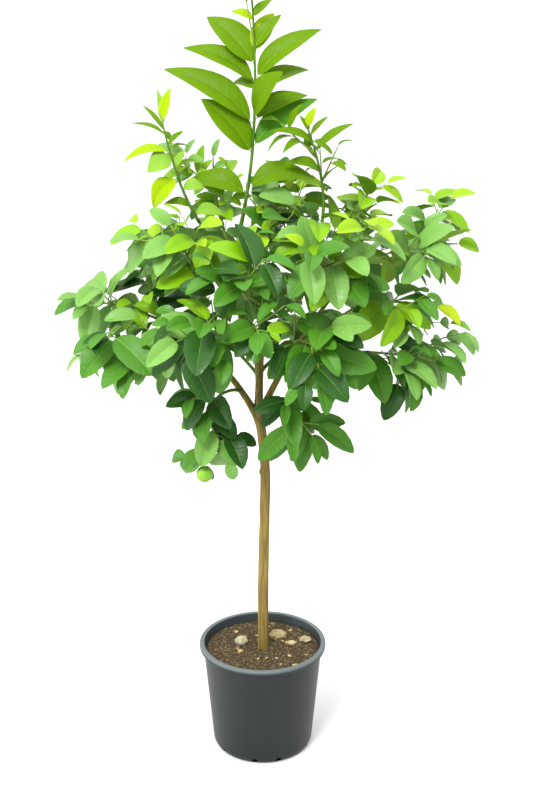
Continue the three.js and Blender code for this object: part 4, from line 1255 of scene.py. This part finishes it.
def tube_template(sides, steps):
    """A round bar of unit radius from height 0 to 1, with rings of corners along it."""
    tube = bmesh.new()
    bmesh.ops.create_cone(tube, cap_ends=True, segments=sides, radius1=1, radius2=1, depth=1)
    long_edges = [edge for edge in tube.edges if edge.verts[0].co.z * edge.verts[1].co.z < 0]
    bmesh.ops.subdivide_edges(tube, edges=long_edges, cuts=steps - 1, use_grid_fill=True)
    corners, faces = template(tube)
    return corners + (0, 0, 0.5), faces


def along_route(corners, curve, radius_at):
    """The template's corners laid round a route, with the share along it in their height."""
    shares = corners[:, 2]
    places = curve(shares)
    after, before = np.minimum(shares + ROUTE_STEP, 1), np.maximum(shares - ROUTE_STEP, 0)
    forward = unit(curve(after) - curve(before))
    run = unit(curve(1) - curve(0))
    across = unit(np.cross(forward, UP if abs(run[2]) < 0.9 else BACK))
    over = np.cross(forward, across)
    radii = (radius_at(shares) + np.zeros(len(shares)))[:, None]
    return places + (across * corners[:, :1] + over * corners[:, 1:2]) * radii


# %% The surface of the wood; each nub has its height, its way in X and Y, and how proud it is
RELIEF = 0.045
RIDGE_SIZE = (5, 5, 34)
SWELLING_SIZE = (60, 60, 40)
SWELLING_SHARE = 0.9
NUBS = [(560, -1, -0.35, 3.2), (432, 0.7, -0.7, 1.4), (330, -0.6, -0.8, 1.2), (612, 0.5, -0.8, 1.8)]
NUB_HALF_HEIGHT = 5
NUB_SHARPNESS = 6


def bark_relief(place):
    """How far the bark stands out, as a share of its radius: long ridges and slow swellings."""
    ridges = noise.noise(Vector(place / RIDGE_SIZE))
    swelling = noise.noise(Vector(place / SWELLING_SIZE))
    return RELIEF * (ridges + SWELLING_SHARE * swelling)


def with_nubs(skin, middle):
    """The skin of the trunk pushed out from its middle line where each nub stands."""
    out = unit(skin - middle)
    for level, x, y, proud in NUBS:
        facing = np.clip(out @ unit(np.array([x, y, 0.0])), 0, 1) ** NUB_SHARPNESS
        near = np.exp(-(((skin[:, 2] - level) / NUB_HALF_HEIGHT) ** 2)) * facing
        skin = skin + out * near[:, None] * proud
    return skin


# %% The trunk and the boughs; a bough is old where it leaves the trunk and young at its end
LIMB_STEP = 4
ROUTE_STEPS = 40
TRUNK_SIDES = 24
BOUGH_SIDES = 12
COLLAR = 0.45
COLLAR_LENGTH = 14
MAIN_AGE = 1.0
BRANCH_AGE = 0.3
SHOOT_AGE = 0.0
AGE_LOST = 0.9


def limb_skin(name, curve, radius_at):
    """The places and faces of a limb, and how old its bark is at each corner, from 0 to 1."""
    steps = np.diff(curve(np.linspace(0, 1, ROUTE_STEPS)), axis=0)
    length = float(np.linalg.norm(steps, axis=-1).sum())
    sides = TRUNK_SIDES if name == "trunk" else BOUGH_SIDES
    corners, faces = tube_template(sides, math.ceil(length / LIMB_STEP))
    collar = 0 if name == "trunk" else COLLAR

    def swollen(share):
        return radius_at(share) * (1 + collar * np.exp(-share * length / COLLAR_LENGTH))

    middle = along_route(corners * (0, 0, 1), curve, swollen)
    skin = along_route(corners, curve, swollen)
    if name == "trunk":
        skin = with_nubs(skin, middle)
    relief = np.array([bark_relief(place) for place in skin])
    skin = skin + (skin - middle) * relief[:, None]
    if name == "trunk":
        return skin, faces, np.ones(len(corners))
    grown = MAIN_AGE if BOUGHS[name][0] == "trunk" else BRANCH_AGE
    if name in SHOOT_LEAVES:
        grown = SHOOT_AGE
    return skin, faces, grown * (1 - AGE_LOST * corners[:, 2])


limb_places, limb_faces, ages = [], [], []
for name, (curve, radius_at) in limbs.items():
    skin, faces, age = limb_skin(name, curve, radius_at)
    limb_faces.extend([[len(limb_places) + i for i in face] for face in faces])
    limb_places.extend((skin * MM).tolist())
    ages.extend(age.tolist())
wood_mesh = bpy.data.meshes.new("trunk_and_boughs")
wood_mesh.from_pydata(limb_places, [], limb_faces)
wood_mesh.attributes.new("age", "FLOAT", "POINT").data.foreach_set("value", ages)

# %% The finish of the bark: old straw-brown wood, young green wood, and a grain that runs upwards
OLD_AND_YOUNG = (0.8, 0.25)

bark = two_tone(
    "bark", [(98, 81, 32), (144, 123, 62)], 150, (0.6, 0.85), 1.2, stretch=(1, 1, 0.1), edges=(0.3, 0.7)
)
age = shader_node(bark.node_tree, "Attribute", attribute_name="age").outputs["Fac"]
lay_over(bark, ramp(bark.node_tree, age, *OLD_AND_YOUNG), (76, 104, 26))
shown_piece("trunk_and_boughs", wood_mesh, [bark], ["trunk"] + ["bough_" + name for name in BOUGHS])

# %% [markdown]
# ## Stems and twigs
# Every stem and twig is a slim green tube that tapers to its tip. There are hundreds, so one small
# tube of a few faces is copied along each route and the copies are joined. Stems and side twigs
# are olive, the leader's and the shoots' stems are darker green, and the fine twigs are fresh green.

# %% Their finishes, and each kind's tube, finish and nodes
GRAIN = (1, 1, 0.3)

foliage_nodes = ["foliage_" + name for name in MASSES]
shoot_nodes = ["foliage_" + name for name in SHOOT_LEAVES]
stem_template = tube_template(8, 14)
twig_template = tube_template(6, 4)
green_wood = two_tone("green_wood", [(96, 122, 44), (132, 150, 66)], 160, (0.5, 0.7), 0.4, GRAIN)
shoot_green = two_tone("shoot_green", [(88, 128, 26), (120, 156, 46)], 120, (0.4, 0.6), 0.2)
shoot_bark = two_tone("shoot_bark", [(56, 92, 12), (86, 124, 28)], 120, (0.4, 0.6), 0.3, GRAIN)
TWIG_KINDS = {
    "stems": (stem_template, green_wood, foliage_nodes),
    "shoot_stems": (stem_template, shoot_bark, shoot_nodes),
    "side_twigs": (twig_template, green_wood, foliage_nodes),
    "fine_twigs": (twig_template, shoot_green, foliage_nodes),
}

# %% The tubes
STEM_TAPER = 0.45
TWIG_TAPER = 0.55


def twig_kind(growth, twig):
    """The piece that a twig belongs to."""
    if twig["owner"].endswith("_stem"):
        return "shoot_stems" if growth["name"] in SHOOT_LEAVES else "stems"
    return "fine_twigs" if "_fine_" in twig["owner"] else "side_twigs"


tubes = {kind: [] for kind in TWIG_KINDS}
for growth in growths:
    for twig in growth["twigs"]:
        kind = twig_kind(growth, twig)
        end = STEM_TAPER if kind.endswith("stems") else TWIG_TAPER
        corners = TWIG_KINDS[kind][0][0]
        tube = along_route(corners, twig["curve"], lambda share: twig["thick"] * between((1, end), share))
        tubes[kind].append(tube)
for kind, ((corners, faces), finish, nodes) in TWIG_KINDS.items():
    shown_piece(kind, joined_copies(kind, np.array(tubes[kind]), faces), [finish], nodes)

# %% [markdown]
# ## The leaves
# A bergamot leaf is an ellipse with a pointed tip, folded along its middle like a shallow V, glossy
# above and paler below. One ball of a few faces is flattened into a blade: its poles are the foot
# and the tip, and its rim is the leaf's edge. Every leaf bends the blade by its own fold, arch,
# wave and twist. At the top left the photograph shows some small sprouts from their faces, so
# those leaves are first turned about their own middles to the front.

# %% The sprouts at the top left turn their leaves to the front
TWISTED_MASS = "top_left"
TWIST_TO_FRONT = 1.2

twisted = leaf_store["mass"] == mass_names.index(TWISTED_MASS)
along, up = leaf_store["along"][twisted], leaf_store["up"][twisted]
up = up - TWIST_TO_FRONT * BACK
up = unit(up - along * (up * along).sum(-1, keepdims=True))
leaf_store["up"][twisted] = up
leaf_store["side"][twisted] = np.cross(up, along)
print("twisted leaves:", int(twisted.sum()))

# %% The blade, as share along, share across and side for each corner of the ball
BALL_COLUMNS = 8
ACROSS_MIDDLE = 0.55
RIM_FROM = 0.9
POLE = 1e-4


def blade_template(rings):
    """The leaf's foot and tip are the ball's poles, its rim is the half circle on either side."""
    ball = bmesh.new()
    bmesh.ops.create_uvsphere(ball, u_segments=BALL_COLUMNS, v_segments=rings, radius=1)
    corners, faces = template(ball)
    share = (1 + corners[:, 2]) / 2
    away = np.hypot(corners[:, 0], corners[:, 1])[:, None]
    turned = np.where(away > POLE, corners[:, :2] / np.maximum(away, POLE), 0).round(3)
    across = np.sign(turned[:, 0]) * np.where(np.abs(turned[:, 0]) > RIM_FROM, 1, ACROSS_MIDDLE)
    # A face of four corners is split from its first one, so that starts at the foot and middle
    for face in faces:
        start = min(range(len(face)), key=lambda i: round(share[face[i]], 3) + abs(across[face[i]]) * 1e-3)
        face[:] = face[start:] + face[:start]
    return dict(share=share, across=across, side=turned[:, 1], faces=faces)


# %% A leaf's outline, and how it bows
CROWN_BOW = 0.03
SHOOT_BOWS = (0.14, 0.03)
SHOOT_BOW_SLOPES = (0.34, 0.82)


def outline(share, front, back):
    """The leaf's half width along its length, 1 at its widest, 0 at the foot and the tip."""
    most = (front / (front + back)) ** front * (back / (front + back)) ** back
    return np.clip(share, 0, 1) ** front * np.clip(1 - share, 0, 1) ** back / most


def leaf_bow(leaf, share):
    """The leaf bows upwards between its foot and its tip, more so where it leaves a shoot level."""
    lift = unit(UP - leaf["along"] * leaf["along"][..., 2:])
    on_shoot = np.isin(leaf["mass"], [mass_names.index(name) for name in SHOOT_LEAVES])
    slope = (leaf["along"][..., 2] - SHOOT_BOW_SLOPES[0]) / (SHOOT_BOW_SLOPES[1] - SHOOT_BOW_SLOPES[0])
    most = np.where(on_shoot, between(SHOOT_BOWS, np.clip(slope, 0, 1)), CROWN_BOW) * leaf["length"]
    return lift * (most * 4 * share * (1 - share))[..., None]


# %% The bent blades
LEAF_FOOT = 0.07
LEAF_HALF_THICKNESS = 0.28
LEAF_BULGE = 0.09
LEAF_WAVE = 0.05
LEAF_WAVES = 1.6
LEAF_WAVE_SHIFT = 1.9
LEAF_TWIST = 0.5
LEAF_TWIST_FROM = 0.3


def bent_blades(chosen, blade, front, back, traits):
    """The corners of each chosen leaf, from the rule's fold and arch and its own small bends."""
    leaf = stored(chosen)
    width = outline(blade["share"], front, back)
    share = LEAF_FOOT + (1 - LEAF_FOOT) * blade["share"]
    offset = leaf["half"] * blade["across"] * width
    spread = np.abs(blade["across"])
    shift = (blade["across"] > 0) * LEAF_WAVE_SHIFT
    ripple = np.sin(math.tau * (share * LEAF_WAVES + traits[:, :1]) + shift)
    rise = leaf["fold"] * np.abs(offset) - leaf["arch"] * share**2 * leaf["length"]
    rise = rise + LEAF_BULGE * leaf["half"] * width * spread * (1 - spread) * 4
    rise = rise + LEAF_WAVE * leaf["half"] * spread * ripple * width
    rise = rise + offset * LEAF_TWIST * (traits[:, 1:] - 0.5) * (share - LEAF_TWIST_FROM)
    rise = rise + LEAF_HALF_THICKNESS * blade["side"] * np.sqrt(width)
    bow = leaf_bow(leaf, share)
    flat = leaf["along"] * (share * leaf["length"])[..., None] + leaf["side"] * offset[..., None]
    return leaf["root"] + flat + leaf["up"] * rise[..., None] + bow


# %% Their mesh, with sharp edges at the rim and the fold, a map, and the underside's own material
def blade_mesh(name, places, blade):
    """The blades in one mesh: the first material is above, the second one below."""
    mesh = joined_copies(name, places, blade["faces"])
    copies, corners = places.shape[:2]
    ends = np.zeros(len(mesh.edges) * 2, int)
    mesh.edges.foreach_get("vertices", ends)
    ends = ends.reshape(-1, 2) % corners
    rim = (np.abs(blade["across"])[ends] == 1) | (np.abs(blade["side"])[ends] < 0.01)
    crease = (blade["across"][ends] == 0).all(-1)
    sharp = mesh.attributes.new("sharp_edge", "BOOLEAN", "EDGE")
    sharp.data.foreach_set("value", rim.all(-1) | crease)
    leaf_map = mesh.uv_layers.new(name="leaf_map")
    loops = np.zeros(len(mesh.loops), int)
    mesh.loops.foreach_get("vertex_index", loops)
    loops %= corners
    flat = np.stack([(blade["across"][loops] + 1) / 2, blade["share"][loops]], axis=-1)
    leaf_map.data.foreach_set("uv", flat.ravel())
    below = [int(np.mean(blade["side"][face]) < 0) for face in blade["faces"]]
    mesh.polygons.foreach_set("material_index", np.tile(below, copies))
    return mesh


# %% [markdown]
# ## Greens
# In sunlight a citrus crown has many greens at once, with yellow-green ones on the newest growth.
# Here the greens also carry painted light and shade: the deep ones near the fork and low down are
# partly painted shade, the soft pale ones are painted highlights of the gloss, and the fresh ones
# towards the ends and the top are partly the young leaves' own green and partly painted light. So
# each twig gets one green, drawn with shares that follow its distance from the fork and its height.
# The youngest leaves of some twigs are one step fresher. The shoots' leaves have a green by their row.

# %% The greens, each as the blade's tone and the paler one of its veins; some carry painted light and shade
GREENS = {
    # The deep green, dealt mostly to the inner and low crown, is partly the leaves' own dark green and
    # partly painted shade
    "deep": ((32, 76, 14), (50, 94, 28)),
    "middle": ((64, 118, 24), (86, 136, 42)),
    # The soft green, pale and bluish, is a painted highlight: it stands for the gloss of leaves lit from
    # above
    "soft": ((104, 152, 64), (136, 178, 96)),
    # The fresh, bright and lime greens are partly the young leaves' own yellow-green and partly painted
    # light through the leaves
    "fresh": ((112, 160, 6), (132, 176, 26)),
    "bright": ((134, 174, 8), (154, 188, 36)),
    "lime": ((158, 182, 2), (182, 198, 30)),
    "shoot": ((85, 121, 0), (98, 134, 2)),
    "shoot_lime": ((136, 168, 2), (154, 182, 16)),
    "shoot_pale": ((116, 158, 48), (142, 178, 74)),
    "shoot_deep": ((62, 116, 14), (96, 146, 44)),
}
FRESH_GREENS = ("fresh", "bright", "lime")
CROWN_SHINE = 0.25
SHOOT_SHINE = 0.08
LEAF_VEINS = 0.32
UNDER_VEINS = 0.35
LEAF_RELIEF = 0.6


def leaf_finish(name, blade, pale, veins, shine, matt=0.0):
    material, tree = new_finish(name, shine)
    wanted = {"Blade": shade(*blade), "Pale": shade(*pale), "Veins": veins}
    skin = shader_node(tree, "Group", node_tree=leaf_skin, inputs=wanted).outputs
    gloss = worked_out(tree, "ADD", skin["Roughness"], matt)
    link_looks(tree, skin["Colour"], gloss, skin["Height"], LEAF_RELIEF)
    return material


# The undersides are paler, partly as a citrus leaf is below and partly as painted light shining through the
# leaf
under_green = leaf_finish("under_green", (94, 138, 62), (122, 160, 84), UNDER_VEINS, CROWN_SHINE, 0.25)
under_fresh = leaf_finish("under_fresh", (118, 160, 24), (144, 180, 52), UNDER_VEINS, CROWN_SHINE, 0.2)

# %% The shares of the first five greens near the fork, in the outer low and high crown, and on sprouts
# Darker shares near the fork and low in the crown are painted shade; the fresher shares in the outer and
# high crown are partly painted light
INNER_SHARES = np.array((0.5, 0.4, 0.08, 0.02, 0))
LOW_SHARES = np.array((0.08, 0.44, 0.46, 0.02, 0))
HIGH_SHARES = np.array((0, 0.14, 0.28, 0.52, 0.06))
SPROUT_SHARES = np.array((0, 0.06, 0.3, 0.54, 0.1))
REACH_WEIGHTS = (1.4, 0.5, 0.55)
INNER_REACH, OUTER_REACH = 130, 330
GREEN_FROM, GREEN_TO = 850, 1000
TOP_FROM, TOP_TO = 950, 1070
SPROUT_MASSES = ("top_left", "left_upper", "right_high", "right")


def green_shares(mass_name, root):
    """The shares of the greens for a twig of a mass, by the place of its first leaf."""
    if mass_name in SPROUT_MASSES:
        return SPROUT_SHARES
    reach = np.linalg.norm((root - limbs["trunk"][0](1)) * REACH_WEIGHTS)
    out = clamped((reach - INNER_REACH) / (OUTER_REACH - INNER_REACH))
    out = max(out, clamped((root[2] - TOP_FROM) / (TOP_TO - TOP_FROM)))
    high = clamped((root[2] - GREEN_FROM) / (GREEN_TO - GREEN_FROM))
    return between((INNER_SHARES, between((LOW_SHARES, HIGH_SHARES), high)), out)


# %% Which green each leaf has
SPRAY_SEED = 77
YOUNG_SHARE = 0.72
LIME_SPRAY = "right_middle_stem"
LIME_SHARE = 0.5
SHOOT_GREENS = {
    "leader": {118: "shoot_deep", 272: "shoot_lime", 317: "shoot_lime", 385: "shoot_lime"},
    "left_shoot": {
        20: "shoot_pale", 70: "shoot_pale", 88: "shoot_lime", 104: "shoot_pale", 116: "shoot_pale",
        128: "shoot_lime", 163: "shoot_pale", 167: "shoot_lime",
    },
    "right_shoot": {106: "shoot_pale", 157: "shoot_lime"},
}

spray_random = seeded_random(SPRAY_SEED)
green_names = list(GREENS)
deep, fresh = green_names.index("deep"), green_names.index("fresh")
spray_green = {}


def leaf_green(note, root):
    """The name of a leaf's green; the first leaf of each twig draws the green of its spray."""
    if note["mass"] in SHOOT_LEAVES:
        return SHOOT_GREENS[note["mass"]].get(note.get("above"), "shoot")
    if note["twig"] == LIME_SPRAY and note["young"] > LIME_SHARE:
        return "lime"
    if note["twig"] not in spray_green:
        steps = np.cumsum(green_shares(note["mass"], root))
        spray_green[note["twig"]] = int(np.searchsorted(steps, spray_random() * steps[-1]))
    green = spray_green[note["twig"]]
    fresher = green == deep or (green == fresh and root[2] > GREEN_TO)
    return green_names[green + (fresher and note["young"] > YOUNG_SHARE)]


leaf_greens = np.array([leaf_green(note, root) for note, root in zip(leaf_notes, leaf_store["root"])])
print({green: int((leaf_greens == green).sum()) for green in GREENS})

# %% The leaves of each green, as one mesh each
TRAIT_SEED = 5
CROWN_BLADE_RINGS = 7
SHOOT_BLADE_RINGS = 16
CROWN_OUTLINE = (0.52, 0.64)
SHOOT_OUTLINE = (0.7, 0.9)

crown_kind = (blade_template(CROWN_BLADE_RINGS), CROWN_OUTLINE, CROWN_SHINE, "leaves")
shoot_kind = (blade_template(SHOOT_BLADE_RINGS), SHOOT_OUTLINE, SHOOT_SHINE, "leader_leaves")
traits = np.random.default_rng(TRAIT_SEED).random((LEAF_ROOM, 2))
for green, (tone, pale) in GREENS.items():
    chosen = np.flatnonzero(leaf_greens == green)
    on_shoot = green.startswith("shoot")
    blade, (front, back), shine, slot = shoot_kind if on_shoot else crown_kind
    piece_name = "leaves_" + green
    mesh = blade_mesh(piece_name, bent_blades(chosen, blade, front, back, traits[chosen]), blade)
    above = leaf_finish("leaf_" + green, tone, pale, LEAF_VEINS, shine)
    below = under_fresh if on_shoot or green in FRESH_GREENS else under_green
    nodes = sorted({"foliage_" + leaf_notes[k]["mass"] for k in chosen})
    shown_piece(piece_name, mesh, [above, below], nodes)

# %% [markdown]
# ## Leaf stalks and midribs
# A short stalk joins each leaf to its twig and runs on as the pale line along its middle. It is one
# slim tube that follows the leaf's own arch, just proud of the blade, and fades before the tip.

# %% Stalks
STALK_RADIUS = 0.75
STALK_END = LEAF_FOOT * 1.5
RIB_RADIUS = 0.32
RIB_LEAST_RADIUS = 0.08
RIB_END = 0.93
RIB_PROUD = 0.6
STALK_FULL_LENGTH = 70
STALK_SIZES = (0.6, 1.3)

stalk_corners, stalk_faces = tube_template(4, 7)
leaf = stored(slice(leaf_count))
run = stalk_corners[:, 2] * RIB_END
thick = np.where(run < STALK_END, STALK_RADIUS, RIB_RADIUS * (1 - run) + RIB_LEAST_RADIUS)
thick = thick * np.clip(leaf["length"] / STALK_FULL_LENGTH, *STALK_SIZES)
middle = leaf["root"] + leaf["along"] * run[:, None] * leaf["length"][..., None]
proud = LEAF_HALF_THICKNESS * RIB_PROUD
rise = proud - leaf["arch"] * run**2 * leaf["length"] + stalk_corners[:, 1] * thick
stalks = middle + leaf["side"] * (stalk_corners[:, 0] * thick)[..., None] + leaf["up"] * rise[..., None]
stalk_mesh = joined_copies("leaf_stalks", stalks + leaf_bow(leaf, run), stalk_faces)
stalk_green = two_tone("stalk_green", [(120, 160, 62), (150, 184, 88)], 90, (0.45, 0.6), 0.1)
shown_piece("leaf_stalks", stalk_mesh, [stalk_green], foliage_nodes)

# %% [markdown]
# ## The young fruit
# One small green bergamot hangs at the end of the low left stem. It is a ball a little longer than
# wide, with slow swellings and fine oil pores in its skin, and its stalk end is turned to the stem.

# %% Fruit; each unevenness of its skin has a size and a depth as a share of the radius
FRUIT_STRETCH = 1.04
FRUIT_UNEVENNESS = [(1.6, 0.012), (9, 0.03)]

fruit = bmesh.new()
bmesh.ops.create_uvsphere(fruit, u_segments=40, v_segments=28, radius=FRUIT_RADIUS * MM)
for corner in fruit.verts:
    corner.co *= 1 + sum(noise.noise(corner.co / MM / size) * depth for size, depth in FRUIT_UNEVENNESS)
    corner.co.z *= FRUIT_STRETCH
turn = (-Vector(fruit_aim)).to_track_quat("Z", "Y").to_matrix().to_4x4()
centre = Matrix.Translation(Vector(fruit_centre * MM))
bmesh.ops.transform(fruit, matrix=centre @ turn, verts=fruit.verts[:])
bmesh.ops.recalc_face_normals(fruit, faces=fruit.faces[:])
fruit_skin = two_tone("fruit_skin", [(104, 156, 36), (132, 180, 56)], 520, (0.32, 0.5), 0.5)
shown_piece("young_fruit", fruit, [fruit_skin], ["foliage_low_left"])

# %% [markdown]
# ## Size
# The boxes of the model and of the dressed tree are printed side by side.

# %% Sizes and finish
bpy.context.view_layer.update()
low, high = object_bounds()
sizes = {
    "cad": [list(cad_low), list(cad_high)],
    "visual": [list(low), list(high)],
}
print("cad", [round(v, 3) for v in (*cad_low, *cad_high)])
print("visual", [round(v, 3) for v in (*low, *high)])
